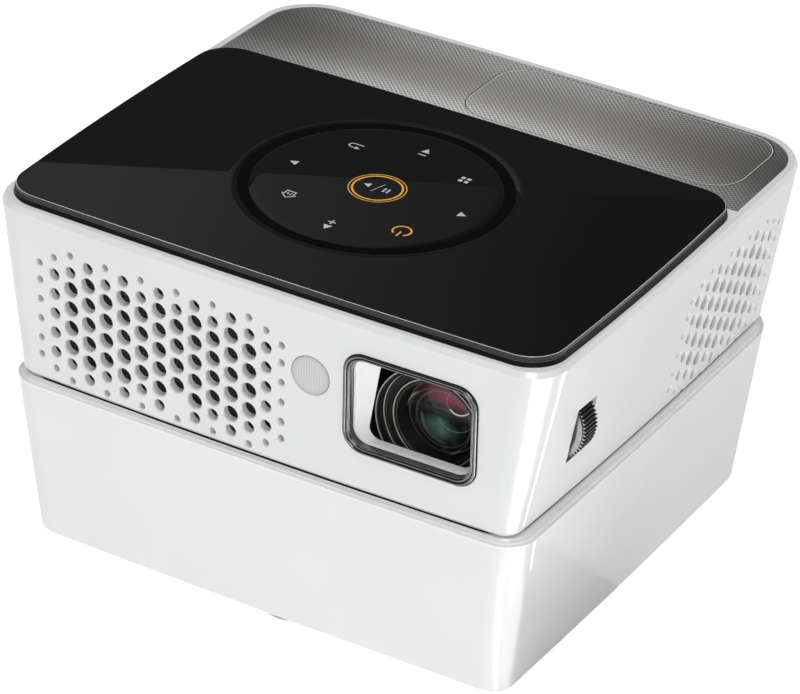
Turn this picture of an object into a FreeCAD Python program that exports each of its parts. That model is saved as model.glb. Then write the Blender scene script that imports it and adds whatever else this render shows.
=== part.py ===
import FreeCAD, Part
import os
import math

os.makedirs("parts", exist_ok=True)

V = FreeCAD.Vector

# ---------------------------------------------------------------- driving dimensions (mm)
# Frame: origin at bottom centre on the resting surface, +X right seen from the front,
# +Y back, +Z up.
Z_REST = 0.0            # resting surface under the feet
Z_BASE_BOT = 3.5        # underside of the lower module
Z_BASE_TOP = 45.5       # top of the lower module's deck
Z_CASE_BOT = 46.0       # underside of the projector module
Z_CASE_EDGE = 86.5      # widest line of the projector case
Z_CASE_TOP = 87.7       # top face of the white case
Z_GLASS_TOP = 90.0      # top of the glass touch panel

CASE_A = 69.95          # half width at the widest line
CASE_YF = -63.7
CASE_YR = 63.7
CASE_RF = 8.5           # front corner radius
CASE_RR = 14.6          # rear corner radius
CASE_SAG = 1.1          # bow of each face
CASE_TF = 0.043         # inward lean of the front face, per mm of height
CASE_TS = 0.161         # inward lean of the side faces
CASE_TR = 0.028         # inward lean of the rear face
WALL = 2.0

BASE_A = 65.4
BASE_YF = -62.7
BASE_YR = 61.5
BASE_RF = 7.5
BASE_RR = 13.0
BASE_SAG = 0.6
BASE_TF = 0.11
BASE_TS = 0.11
BASE_TR = 0.05
Z_LIP = 44.4            # outer edge of the lower module's lid

GLASS_A = 68.0
GLASS_B = 44.4
GLASS_YC = -16.9
GLASS_R = 8.5
RING_C = (-0.5, -14.0)
RING_RO = 30.3
RING_RI = 27.8

GR_CX = -24.80          # front grille centre
GR_CZ = 64.05
GR_P = 4.895            # vertical pitch
GR_Q = 4.267            # pitch of the outermost holes
GR_C = 4.572            # column pitch
GR_C12 = 4.269
GR_C01 = 3.838
HOLE_L = 1.775
HOLE_M = 1.30
HOLE_S = 0.75
VENT_YC = 27.05         # side vent pattern centre
VENT_ZC = 63.05

BZ_X = 37.6             # lens bezel centre
BZ_Z = 67.9
BZ_W = 32.1
BZ_H = 24.6
BZ_OW = 28.8            # opening
BZ_OH = 21.3

LENS_X = 37.9           # lens axis
LENS_Z = 61.85
WHEEL_X = 59.2
WHEEL_Z = 64.9
WHEEL_R = 9.2
N_WHEEL = 60
N_RING = 86

IR_X = 13.5
IR_Z = 70.8
IR_R = 4.6

FLAP = (-8.0, 62.0, 32.3, 60.1)   # x0, x1, y0, y1
FLAP_R = 8.0

DISC_X = -16.0          # spindle axis
FAN_C = (54.5, 27.0, 66.0)


# ---------------------------------------------------------------- helpers
def box(x0, x1, y0, y1, z0, z1):
    return Part.makeBox(x1 - x0, y1 - y0, z1 - z0, V(x0, y0, z0))


def cyl(r, x, y, z, h, d=(0, 0, 1)):
    return Part.makeCylinder(r, h, V(x, y, z), V(*d))


def fuse(parts):
    s = parts[0].multiFuse(parts[1:]) if len(parts) > 1 else parts[0]
    try:
        s = s.removeSplitter()
    except Exception:
        pass
    return s


def circ(c1, r1, c2, r2, near):
    dx, dy = c2[0] - c1[0], c2[1] - c1[1]
    d = math.hypot(dx, dy)
    a = (r1 * r1 - r2 * r2 + d * d) / (2 * d)
    h = math.sqrt(max(r1 * r1 - a * a, 0))
    mx, my = c1[0] + a * dx / d, c1[1] + a * dy / d
    c = [(mx + h * dy / d, my - h * dx / d), (mx - h * dy / d, my + h * dx / d)]
    return min(c, key=lambda q: math.hypot(q[0] - near[0], q[1] - near[1]))


def outline(a, yf, yr, rf, rr, sag, z):
    """closed wire of four bowed sides and four tangent corner arcs"""
    yc, h = (yf + yr) / 2, (yr - yf) / 2
    r1 = (a * a + sag * sag) / (2 * sag)
    r2 = (h * h + sag * sag) / (2 * sag)
    cf, cr = (0, yf + r1), (0, yr - r1)
    cR, cL = (a - r2, yc), (r2 - a, yc)

    def corner(ca, ra, cb, rb, r, near):
        p = circ(ca, ra - r, cb, rb - r, near)

        def t(c, R):
            dx, dy = p[0] - c[0], p[1] - c[1]
            k = R / math.hypot(dx, dy)
            return (c[0] + dx * k, c[1] + dy * k)
        ta, tb = t(ca, ra), t(cb, rb)
        mx, my = (ta[0] + tb[0]) / 2 - p[0], (ta[1] + tb[1]) / 2 - p[1]
        k = r / math.hypot(mx, my)
        return ta, (p[0] + mx * k, p[1] + my * k), tb
    fr = corner(cf, r1, cR, r2, rf, (a - rf, yf + rf))
    rr_ = corner(cR, r2, cr, r1, rr, (a - rr, yr - rr))
    rl = corner(cr, r1, cL, r2, rr, (rr - a, yr - rr))
    fl = corner(cL, r2, cf, r1, rf, (rf - a, yf + rf))

    def arc(p, q, s):
        return Part.Arc(V(p[0], p[1], z), V(q[0], q[1], z), V(s[0], s[1], z)).toShape()

    def mid(c, R, p, q):
        mx, my = (p[0] + q[0]) / 2 - c[0], (p[1] + q[1]) / 2 - c[1]
        k = R / math.hypot(mx, my)
        return (c[0] + mx * k, c[1] + my * k)
    e = [arc(fl[2], mid(cf, r1, fl[2], fr[0]), fr[0]), arc(*fr),
         arc(fr[2], mid(cR, r2, fr[2], rr_[0]), rr_[0]), arc(*rr_),
         arc(rr_[2], mid(cr, r1, rr_[2], rl[0]), rl[0]), arc(*rl),
         arc(rl[2], mid(cL, r2, rl[2], fl[0]), fl[0]), arc(*fl)]
    return Part.Wire(e)


def loft(wires):
    return Part.makeLoft(wires, True, True)


def case_wire(z, off=0.0):
    d = Z_CASE_EDGE - z
    k = 0.5 * (CASE_TF + CASE_TS)
    return outline(CASE_A - CASE_TS * d - off, CASE_YF + CASE_TF * d + off, CASE_YR - CASE_TR * d - off,
                   max(CASE_RF - k * d - off, 1.0), max(CASE_RR - k * d - off, 1.0), CASE_SAG, z)


def base_wire(z, off=0.0):
    d = Z_LIP - z
    return outline(BASE_A - BASE_TS * d - off, BASE_YF + BASE_TF * d + off, BASE_YR - BASE_TR * d - off,
                   max(BASE_RF - BASE_TF * d * 0.5 - off, 1.0), max(BASE_RR - BASE_TS * d * 0.5 - off, 1.0), BASE_SAG, z)


def glass_wire(z, off=0.0):
    w = outline(GLASS_A - off, -GLASS_B + off, GLASS_B - off, GLASS_R - off, GLASS_R - off, 1.0, z)
    w.translate(V(0, GLASS_YC, 0))
    return w


def case_front_y(x, z):
    r = (CASE_A ** 2 + CASE_SAG ** 2) / (2 * CASE_SAG)
    return CASE_YF + CASE_TF * (Z_CASE_EDGE - z) + r - math.sqrt(r * r - x * x)


def case_side_x(y, z):
    h = (CASE_YR - CASE_YF) / 2
    r = (h * h + CASE_SAG ** 2) / (2 * CASE_SAG)
    return CASE_A - CASE_TS * (Z_CASE_EDGE - z) - (r - math.sqrt(r * r - y * y))


def rrect(x0, x1, y0, y1, r, z):
    """rounded rectangle in XY at height z"""
    def A(cx, cy, a0):
        p = [V(cx + r * math.cos(math.radians(a0 + t)), cy + r * math.sin(math.radians(a0 + t)), z) for t in (0, 45, 90)]
        return p
    c = [A(x1 - r, y1 - r, 0), A(x0 + r, y1 - r, 90), A(x0 + r, y0 + r, 180), A(x1 - r, y0 + r, 270)]
    e = []
    for i in range(4):
        e.append(Part.Arc(*c[i]).toShape())
        q = c[(i + 1) % 4][0]
        e.append(Part.makeLine(c[i][2], q))
    return Part.Wire(e)


def rpoly(pts, r, y):
    """rounded polygon in XZ at depth y; pts counter-clockwise seen from the front (x, z)"""
    n = len(pts)
    arcs = []
    for i in range(n):
        p0, p1, p2 = pts[i - 1], pts[i], pts[(i + 1) % n]
        a = (p0[0] - p1[0], p0[1] - p1[1])
        b = (p2[0] - p1[0], p2[1] - p1[1])
        la, lb = math.hypot(*a), math.hypot(*b)
        a = (a[0] / la, a[1] / la)
        b = (b[0] / lb, b[1] / lb)
        half = math.acos(max(-1, min(1, a[0] * b[0] + a[1] * b[1]))) / 2
        t = r / math.tan(half)
        m = (a[0] + b[0], a[1] + b[1])
        lm = math.hypot(*m)
        m = (m[0] / lm, m[1] / lm)
        cd = r / math.sin(half)
        arcs.append((V(p1[0] + a[0] * t, y, p1[1] + a[1] * t),
                     V(p1[0] + m[0] * (cd - r), y, p1[1] + m[1] * (cd - r)),
                     V(p1[0] + b[0] * t, y, p1[1] + b[1] * t)))
    e = []
    for i in range(n):
        e.append(Part.Arc(*arcs[i]).toShape())
        e.append(Part.makeLine(arcs[i][2], arcs[(i + 1) % n][0]))
    return Part.Wire(e)


def rrect_xz(w, h, r, y, cx=0.0, cz=0.0):
    return rpoly([(cx - w / 2, cz - h / 2), (cx + w / 2, cz - h / 2), (cx + w / 2, cz + h / 2), (cx - w / 2, cz + h / 2)], r, y)


def prism(wire, vec):
    return Part.Face(wire).extrude(V(*vec))


def revolve_y(pts, x, y, z):
    """solid of revolution about an axis along Y; pts are (radius, y offset)"""
    w = Part.makePolygon([V(x + r, y + t, z) for r, t in pts] + [V(x + pts[0][0], y + pts[0][1], z)])
    return Part.Face(w).revolve(V(x, y, z), V(0, 1, 0), 360)


def revolve_x(pts, x, y, z):
    w = Part.makePolygon([V(x + t, y + r, z) for r, t in pts] + [V(x + pts[0][1], y + pts[0][0], z)])
    return Part.Face(w).revolve(V(x, y, z), V(1, 0, 0), 360)


def revolve_z(pts, x, y, z):
    w = Part.makePolygon([V(x + r, y, z + t) for r, t in pts] + [V(x + pts[0][0], y, z + pts[0][1])])
    return Part.Face(w).revolve(V(x, y, z), V(0, 0, 1), 360)


def pattern(n):
    """hole pattern of n columns: list of (u, w, radius) about the pattern's centre"""
    h = n // 2
    out = []
    for k in range(-h, h + 1):
        a = abs(k)
        if a == h:
            u = (h - 2) * GR_C + GR_C12 + GR_C01
        elif a == h - 1:
            u = (h - 2) * GR_C + GR_C12
        else:
            u = a * GR_C
        u = math.copysign(u, k)
        i = k + h
        if a == h:
            col = [(0.5 * GR_P, HOLE_S), (1.5 * GR_P, HOLE_S), (1.5 * GR_P + GR_Q, HOLE_S)]
            zero = None
        elif a == h - 1:
            col = [(GR_P, HOLE_M), (2 * GR_P, HOLE_M), (2 * GR_P + GR_Q, HOLE_S)]
            zero = HOLE_M
        elif i % 2 == 0:
            col = [(0.5 * GR_P, HOLE_L), (1.5 * GR_P, HOLE_L), (1.5 * GR_P + GR_Q, HOLE_M), (1.5 * GR_P + 2 * GR_Q, HOLE_S)]
            zero = None
        else:
            col = [(GR_P, HOLE_L), (2 * GR_P, HOLE_L), (2 * GR_P + GR_Q, HOLE_M)]
            zero = HOLE_L
        if zero:
            out.append((u, 0.0, zero))
        for w, r in col:
            out.append((u, w, r))
            out.append((u, -w, r))
    return out


def gear_y(n, m, x, z, y0, y1, phase):
    """spur gear about an axis along Y; phase is the angle of one tooth's centre, degrees"""
    rp = n * m / 2
    ra, rd = rp + 0.85 * m, rp - 1.1 * m
    pts = []
    st = 360.0 / n
    for i in range(n):
        c = phase + i * st
        for rr, f in ((rd, -0.34), (ra, -0.12), (ra, 0.12), (rd, 0.34)):
            t = math.radians(c + f * st)
            pts.append(V(x + rr * math.cos(t), y0, z + rr * math.sin(t)))
    pts.append(pts[0])
    return Part.Face(Part.makePolygon(pts)).extrude(V(0, y1 - y0, 0))


PARTS = {}


def put(name, shape):
    PARTS[name] = shape


# ================================================================ lower module
# ---- base shell: white tub with a floor, open on top
outer = loft([base_wire(Z_BASE_BOT + 1.2), base_wire(Z_LIP - 0.6)])
foot_chamfer = loft([base_wire(Z_BASE_BOT, 1.2), base_wire(Z_BASE_BOT + 1.2)])
inner = loft([base_wire(Z_BASE_BOT + 2.2, WALL), base_wire(Z_LIP + 0.4, WALL)])
shell = fuse([outer, foot_chamfer]).cut(inner)
FEET = [(1.5, -45.7)]
REAR_FEET = [(-43.5, 42.5), (43.5, 42.5)]
BASE_POSTS = [(-50.0, -52.0), (50.0, -52.0), (-48.0, 52.0), (48.0, 52.0)]
bosses = [cyl(6.2, FEET[0][0], FEET[0][1], 5.0, 6.5)]
bosses += [cyl(3.2, x, y, 5.0, Z_LIP - 0.6 - 5.0) for x, y in BASE_POSTS]
shell = fuse([shell] + bosses)
cuts = [box(-75, -55, -46.8, 46.8, 14.5, 30.8)]                       # tray opening, left face
cuts += [cyl(3.55, FEET[0][0], FEET[0][1], 2.0, 12.0)]                # front foot bore
cuts += [cyl(6.0, x, y, 3.0, 1.2) for x, y in REAR_FEET]              # recesses for the rear feet
cuts += [cyl(2.6, x, y, 3.0, 3.0) for x, y in BASE_POSTS]             # screw heads
cuts += [cyl(1.35, x, y, 3.0, Z_LIP) for x, y in BASE_POSTS]
cuts += [cyl(4.5, 0.0, 5.0, 3.0, 4.0)]                                # tripod socket insert
for i in range(9):                                                    # row of floor louvres
    cuts.append(box(18.0 + i * 3.2, 19.4 + i * 3.2, -30.0, -8.0, 3.0, 6.5))
shell = shell.cut(Part.makeCompound(cuts))
put("base_shell", shell)

# ---- base deck: lid of the lower module with a stepped lip
deck = fuse([loft([base_wire(Z_LIP - 0.6), base_wire(Z_LIP)]),
             loft([base_wire(Z_LIP, 0.55), base_wire(Z_LIP + 0.55, 0.75)]),
             loft([base_wire(Z_LIP + 0.55, 1.35), base_wire(Z_BASE_TOP, 1.7)])])
tongue = loft([base_wire(Z_LIP - 2.2, WALL + 0.15), base_wire(Z_LIP - 0.6, WALL + 0.15)]).cut(
    loft([base_wire(Z_LIP - 2.2, WALL + 1.6), base_wire(Z_LIP - 0.6, WALL + 1.6)]))
tongue = tongue.cut(Part.makeCompound([cyl(3.6, x, y, 38, 6) for x, y in BASE_POSTS]))
LOC_PINS = [(-40.0, -40.0), (40.0, 44.0)]
deck = fuse([deck, tongue] + [Part.makeCone(2.0, 1.7, 1.9, V(x, y, Z_BASE_TOP - 0.1)) for x, y in LOC_PINS])
DOCK = (-16.0, 16.0, 40.0, 47.0)
deck = deck.cut(box(DOCK[0], DOCK[1], DOCK[2], DOCK[3], 40, 50))
PADS = [(-46.0, -48.0), (46.0, -48.0), (-46.0, 50.0), (46.0, 50.0)]
deck = deck.cut(Part.makeCompound([cyl(5.0, x, y, 45.0, 2.0) for x, y in PADS]))
put("base_deck", deck)
put("deck_pads", Part.makeCompound([cyl(4.9, x, y, 45.0, 0.95) for x, y in PADS]))
dc = box(DOCK[0] + 0.1, DOCK[1] - 0.1, DOCK[2] + 0.1, DOCK[3] - 0.1, 40.5, 45.5)
dc = fuse([dc, box(-12, 12, 42.0, 45.0, 45.5, 47.2)])
dc = dc.cut(Part.makeCompound([box(-11 + i * 2.0, -10.2 + i * 2.0, 42.5, 44.5, 46.2, 48) for i in range(12)]))
put("dock_connector", dc)

# ---- screws that hold the lid: head in the floor
put("base_screws", Part.makeCompound([
    fuse([cyl(2.4, x, y, 4.0, 1.6), cyl(1.25, x, y, 5.6, 34.0)]).cut(
        fuse([box(x - 1.5, x + 1.5, y - 0.3, y + 0.3, 3.5, 4.8), box(x - 0.3, x + 0.3, y - 1.5, y + 1.5, 3.5, 4.8)]))
    for x, y in BASE_POSTS]))
put("feet_rear", Part.makeCompound([
    fuse([cyl(5.9, x, y, 0.6, 3.6), Part.makeCone(5.3, 5.9, 0.6, V(x, y, 0))]) for x, y in REAR_FEET]))
fx, fy = FEET[0]
ff = revolve_z([(0, 0), (7.2, 0), (8.0, 0.8), (8.0, 2.2), (6.6, 3.2), (3.47, 3.2), (3.47, 13.2), (0, 13.2)], fx, fy, 0)
ff = ff.cut(Part.makeCompound([cyl(0.5, fx + 8.15 * math.cos(i * math.pi / 9), fy + 8.15 * math.sin(i * math.pi / 9), -1, 3.4) for i in range(18)]))
put("front_foot", ff)
ti = revolve_z([(3.175, 0.3), (4.4, 0.3), (4.4, 2.2), (5.6, 2.2), (5.6, 6.0), (3.175, 6.0)], 0, 5.0, 3.5)
put("tripod_insert", ti)

# ---- base board under the drive
bb = box(-50, 28, -38, 38, 8.0, 9.6).cut(Part.makeCompound([cyl(6.6, fx, fy, 5, 8), cyl(6.0, 0, 5, 5, 8)]))
bb = fuse([bb, box(-44, -28, -20, -4, 9.6, 11.2), box(-20, -8, 12, 24, 9.6, 11.0), box(8, 24, -32, -18, 9.6, 11.8),
           box(-46, -34, 22, 32, 9.6, 12.0)])
bb = fuse([bb, box(-49, -46, -37, -34, 5.7, 8.0), box(24, 27, 34, 37, 5.7, 8.0), box(-49, -46, 34, 37, 5.7, 8.0), box(24, 27, -37, -34, 5.7, 8.0)])
put("base_board", bb)

# ---- battery cells on the right of the drive
CELL_R = 8.9
bat = []
for z in (15.0, 33.2):
    bat.append(cyl(CELL_R, 48.4, -33.0, z, 65.0, (0, 1, 0)))
    bat.append(cyl(3.0, 48.4, 32.0, z, 1.2, (0, 1, 0)))
b1 = [fuse([bat[0], bat[1]]), fuse([bat[2], bat[3]])]
put("battery_cells", Part.makeCompound(b1))
hold = box(38.6, 58.0, -36.0, 35.5, 5.7, 12.0).cut(cyl(CELL_R + 0.3, 48.4, -40.0, 15.0, 90.0, (0, 1, 0)))
hold = fuse([hold, box(38.6, 58.0, -36.0, -33.4, 5.7, 30.0), box(38.6, 58.0, 33.6, 35.5, 5.7, 30.0)])
hold = hold.cut(box(56.5, 60, -40, 40, 20, 40))
put("battery_holder", hold)

# ================================================================ disc drive in the lower module
DF = (-57.5, 34.5, -48.0, 48.0, 13.5, 32.0)
df = box(*DF).cut(box(DF[0] - 1, DF[1] - 0.8, DF[2] + 0.8, DF[3] - 0.8, DF[4] + 0.8, DF[5] - 0.8))
rails = []
for s in (1, -1):
    def yb(a, b):
        return (a, b) if s > 0 else (-b, -a)
    y0, y1 = yb(46.6, 47.2)
    rails.append(box(-56.5, 33.7, y0, y1, 19.3, 26.2))
    y0, y1 = yb(44.9, 47.2)
    rails.append(box(-56.5, 33.7, y0, y1, 19.3, 19.9))
    rails.append(box(-56.5, 33.7, y0, y1, 25.6, 26.2))
df = fuse([df] + rails)
emboss = cyl(30, DISC_X, 0, 31.9, 0.7)
emboss = emboss.cut(cyl(27.5, DISC_X, 0, 31.5, 2))
df = fuse([df, emboss])
put("drive_frame", df)
put("drive_mounts", Part.makeCompound([cyl(3.2, x, y, 5.7, 7.8) for x, y in ((-53.5, -41.5), (-53.5, 41.5), (32.0, -42.5), (32.0, 42.5))]))

ms = []
for s in (1, -1):
    def yb(a, b):
        return (a, b) if s > 0 else (-b, -a)
    y0, y1 = yb(45.75, 46.3)
    m = [box(-55.0, 30.0, y0, y1, 20.2, 25.3)]
    y0, y1 = yb(44.6, 46.3)
    m += [box(-55.0, 30.0, y0, y1, 20.2, 20.75), box(-55.0, 30.0, y0, y1, 24.75, 25.3)]
    ms.append(fuse(m))
put("rail_slides", Part.makeCompound(ms))

# ---- tray: moulded plate with a round well
tray = box(-60.0, 27.5, -43.8, 43.8, 20.6, 27.0)
tray = tray.cut(box(-58.5, 26.0, -42.3, 42.3, 19.0, 22.4))
tray = fuse([tray, box(-58.0, 27.5, 43.0, 45.4, 21.1, 24.4), box(-58.0, 27.5, -45.4, -43.0, 21.1, 24.4)])
well = cyl(40.8, DISC_X, 0, 24.0, 10)
finger = fuse([cyl(9.0, -57.0, 26.0, 24.4, 10), cyl(9.0, -57.0, -26.0, 24.4, 10)]).common(box(-58.4, -20, -43, 43, 20, 40))
tray = tray.cut(fuse([well, finger]))
tray = tray.cut(cyl(12.6, DISC_X, 0, 15, 20))
tray = tray.cut(box(DISC_X + 8.0, 25.0, -14.4, 14.4, 15, 30))
ribs = [box(-50, -30, y - 0.6, y + 0.6, 21.2, 22.6) for y in (-30, -20, 20, 30)]
tray = fuse([tray] + ribs)
put("tray", tray)

# ---- tray front: white bezel that closes the opening flush with the left face
lo = loft([base_wire(14.8), base_wire(30.5)])
li = loft([base_wire(14.8, 2.4), base_wire(30.5, 2.4)])
tf = lo.cut(li).common(box(-75, -50, -46.5, 46.5, 14.8, 30.5))
EJ_Y, EJ_Z = 33.0, 19.0
tf = fuse([tf, box(-61.4, -60.0, -43.0, 43.0, 20.8, 26.8)])
tf = tf.cut(box(-70, -58.0, EJ_Y - 3.7, EJ_Y + 3.7, EJ_Z - 1.5, EJ_Z + 1.5))
tf = tf.cut(cyl(0.6, -75, EJ_Y - 9.0, EJ_Z, 20, (1, 0, 0)))
put("tray_front", tf)
xo = -(BASE_A - BASE_TS * (Z_LIP - EJ_Z))
ej = box(xo - 0.35, xo + 2.4, EJ_Y - 3.5, EJ_Y + 3.5, EJ_Z - 1.3, EJ_Z + 1.3)
put("eject_button", ej)

# ---- spindle motor, hub, sled and its drive
sm = cyl(12.0, DISC_X, 0, 16.4, 5.8)
sm = fuse([sm, box(DISC_X - 15.5, DISC_X - 9, -9, 9, 16.4, 17.4), cyl(1.6, DISC_X, 0, 22.0, 0.6)])
sm = fuse([sm, box(DISC_X - 20.5, DISC_X - 14.0, -9, 9, 16.4, 17.4), box(DISC_X - 20.5, DISC_X - 18.5, -9, 9, 17.4, 22.4)])
put("spindle_motor", sm)
hub = revolve_z([(0, 0.4), (10.5, 0.4), (10.5, 1.6), (8.2, 1.6), (8.2, 2.4), (7.45, 2.4), (7.45, 3.8), (6.6, 4.6), (0, 4.6)], DISC_X, 0, 22.4)
hub = hub.cut(Part.makeCompound([box(-0.5, 0.5, 5.2, 7.8, 25.0, 28).rotated(V(0, 0, 0), V(0, 0, 1), k * 120).translated(V(DISC_X, 0, 0)) for k in range(3)]))
put("spindle_hub", hub)
rods = [cyl(1.0, DISC_X + 13.0, y, 19.2, 28.5, (1, 0, 0)) for y in (-12.0, 12.0)]
put("sled_rods", Part.makeCompound(rods))
# carriers for the rods, moulded on the tray's underside
car = [box(DISC_X + 12.2, DISC_X + 14.0, y - 1.8, y + 1.8, 17.4, 22.6) for y in (-12.0, 12.0)]
car += [box(25.0, 26.6, y - 1.8, y + 1.8, 17.4, 22.6) for y in (-12.0, 12.0)]
tray = fuse([PARTS["tray"]] + [c.cut(cyl(1.0, DISC_X, y, 19.2, 60, (1, 0, 0))) for c, y in zip(car, (-12.0, 12.0, -12.0, 12.0))]
            + [box(DISC_X + 12.2, DISC_X + 14.0, y0, y1, 21.2, 22.6) for y0, y1 in ((-15.0, -12.0), (12.0, 15.0))])
tray = tray.cut(box(-61.0, -57.2, EJ_Y - 4.2, EJ_Y + 4.2, 17.0, 23.6))
put("tray", tray)
SL0 = DISC_X + 14.6
sled = fuse([box(SL0, SL0 + 9.4, -10.0, 10.0, 17.0, 22.0), box(SL0 + 1, SL0 + 8.4, -13.6, -10, 17.6, 20.8), box(SL0 + 1, SL0 + 8.4, 10, 13.6, 17.6, 20.8)])
sled = sled.cut(Part.makeCompound([cyl(1.06, SL0 - 5, y, 19.2, 30, (1, 0, 0)) for y in (-12.0, 12.0)]))
sled = fuse([sled, box(SL0 + 2.4, SL0 + 5.4, -16.0, -13.6, 18.0, 19.0)])
sled = fuse([sled, cyl(4.2, SL0 + 4.7, 0, 22.0, 0.7)])
put("laser_sled", sled)
put("laser_lens", revolve_z([(0, 0), (2.4, 0), (2.4, 0.5), (1.6, 1.0), (0, 1.15)], SL0 + 4.7, 0, 22.7))
scr = revolve_x([(0, 0), (0.9, 0), (1.25, 0.4), (1.25, 27.6), (0.9, 28.0), (0, 28.0)], DISC_X + 13.4, -17.6, 18.6)
put("sled_screw", scr)
smo = fuse([cyl(3.6, DISC_X - 3.0, -17.6, 18.6, 16.0, (1, 0, 0)).cut(box(-60, 60, -30, 0, 22.3, 30)),
            box(DISC_X + 8.0, DISC_X + 10.0, -21.6, -15.0, 17.4, 22.35)])
put("sled_motor", smo)

# ================================================================ projector module
# ---- case shell
case = fuse([loft([case_wire(Z_CASE_BOT + 0.9), case_wire(Z_CASE_EDGE)]),
             loft([case_wire(Z_CASE_BOT, 0.7), case_wire(Z_CASE_BOT + 0.9)]),
             loft([case_wire(Z_CASE_EDGE), case_wire(Z_CASE_TOP, 0.75)])])
case = case.cut(loft([case_wire(Z_CASE_BOT - 1.0, WALL), case_wire(86.0, WALL)]))
# front grille
tools = []
for u, w, r in pattern(15):
    x, z = GR_CX + u, GR_CZ + w
    y = case_front_y(x, z)
    tools.append(revolve_y([(0, -1.0), (r + 0.75, -1.0), (r + 0.30, 0.0), (r, 0.45), (r, 4.0), (0, 4.0)], x, y, z))
# side vents
for u, w, r in pattern(11):
    y, z = VENT_YC + u, VENT_ZC + w
    x = case_side_x(y, z)
    tools.append(revolve_x([(0, 1.2), (r + 0.80, 1.2), (r + 0.28, 0.0), (r, -0.45), (r, -4.5), (0, -4.5)], x, y, z))
case = case.cut(Part.makeCompound(tools))
# lens opening, receiver window, wheel slot, flap bay, deck recess, rear ports
slope = math.degrees(math.atan(CASE_TF))
yaw = math.degrees(BZ_X / ((CASE_A ** 2 + CASE_SAG ** 2) / (2 * CASE_SAG)))
BZ_Y = case_front_y(BZ_X, BZ_Z)


def to_face(s, x, y, z, ya, sl):
    s = s.copy()
    s.rotate(V(0, 0, 0), V(1, 0, 0), sl)
    s.rotate(V(0, 0, 0), V(0, 0, 1), ya)
    s.translate(V(x, y, z))
    return s


cuts = [to_face(prism(rrect_xz(BZ_W - 1.8, BZ_H - 1.8, 4.4, -3), (0, 8, 0)), BZ_X, BZ_Y, BZ_Z, yaw, slope)]
yawi = math.degrees(IR_X / ((CASE_A ** 2 + CASE_SAG ** 2) / (2 * CASE_SAG)))
IR_Y = case_front_y(IR_X, IR_Z)
cuts.append(to_face(cyl(IR_R + 0.12, 0, -3, 0, 8, (0, 1, 0)), IR_X, IR_Y, IR_Z, yawi, slope))
cuts.append(box(60, 80, -43.4, -35.3, 59.6, 70.7))
cuts.append(cyl(WHEEL_R + 0.35, WHEEL_X, -43.3, WHEEL_Z, 6.9, (0, 1, 0)))
REC = loft([case_wire(86.8, 2.3), case_wire(88.0, 2.3)]).cut(box(-90, 90, -90, 25.0, 80, 95))
cuts.append(REC)
cuts.append(prism(rrect(FLAP[0] - 0.3, FLAP[1] + 0.3, FLAP[2] - 0.3, FLAP[3] + 0.35, FLAP_R + 0.3, 84), (0, 0, 5)))
RP = (-52.0, 22.0, 51.0, 66.0)   # rear port plate x0, x1, z0, z1
cuts.append(prism(rrect_xz(RP[1] - RP[0], RP[3] - RP[2], 2.5, 50.0, (RP[0] + RP[1]) / 2, (RP[2] + RP[3]) / 2), (0, 20, 0)))
case = case.cut(Part.makeCompound(cuts))
CASE_POSTS = [(-52.0, -48.0), (57.0, -55.6), (-52.0, 51.0), (51.0, 57.2)]
posts = [cyl(3.0, x, y, 49.0, h).cut(cyl(1.35, x, y, 48, 16)) for (x, y), h in zip(CASE_POSTS, (37.5, 37.5, 37.5, 17.0))]
case = fuse([case] + posts)
put("case_shell", case)

# ---- bottom cover of the projector module
cb = loft([case_wire(Z_CASE_BOT + 0.2, WALL + 0.25), case_wire(47.9, WALL + 0.25)])
cb = fuse([cb] + [cyl(2.1, x, y, 47.8, 1.15) for x, y in CASE_POSTS])
cuts = [cyl(2.6, x, y, 45, 2.2) for x, y in CASE_POSTS] + [cyl(1.35, x, y, 45, 8) for x, y in CASE_POSTS]
cuts += [cyl(2.35, x, y, 45, 4) for x, y in LOC_PINS]
cuts += [box(-12.6, 12.6, 41.4, 45.6, 45, 49)]
cuts += [box(-40.0 + i * 3.4, -38.4 + i * 3.4, -20, 14, 45, 49) for i in range(12)]
put("case_bottom", cb.cut(Part.makeCompound(cuts)))
put("case_screws", Part.makeCompound([
    fuse([cyl(2.4, x, y, 46.3, 0.85), cyl(1.25, x, y, 47.15, 14.0)]).cut(
        fuse([box(x - 1.5, x + 1.5, y - 0.3, y + 0.3, 46, 46.8), box(x - 0.3, x + 0.3, y - 1.5, y + 1.5, 46, 46.8)]))
    for x, y in CASE_POSTS]))

# ---- glass panel on its black carrier
car = loft([glass_wire(Z_CASE_TOP, -0.35), glass_wire(88.75, -0.1)])
put("glass_carrier", car)
gl = fuse([loft([glass_wire(88.75, 0.15), glass_wire(89.65, 0.15)]), loft([glass_wire(89.65, 0.15), glass_wire(Z_GLASS_TOP, 0.5)])])
gl = gl.cut(cyl(RING_RO, RING_C[0], RING_C[1], 89.4, 2).cut(cyl(RING_RI, RING_C[0], RING_C[1], 89, 3)))
put("glass_panel", gl)
put("touch_ring", cyl(RING_RO - 0.06, RING_C[0], RING_C[1], 89.4, 0.48).cut(cyl(RING_RI + 0.06, RING_C[0], RING_C[1], 89, 3)))
tb = box(-34, 34, -48, 20, 84.6, 85.8)
put("touch_board", fuse([tb, box(-10, 0, -42, -34, 83.6, 84.6), box(12, 30, 8, 13, 82.6, 84.6)]))

# ---- rear deck panel
dk = loft([case_wire(86.8, 2.4), case_wire(87.6, 2.4)]).cut(box(-90, 90, -90, 25.1, 80, 95))
dk = dk.cut(prism(rrect(FLAP[0] - 0.3, FLAP[1] + 0.3, FLAP[2] - 0.3, FLAP[3] + 0.35, FLAP_R + 0.3, 84), (0, 0, 6)))
put("rear_deck", dk)

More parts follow.
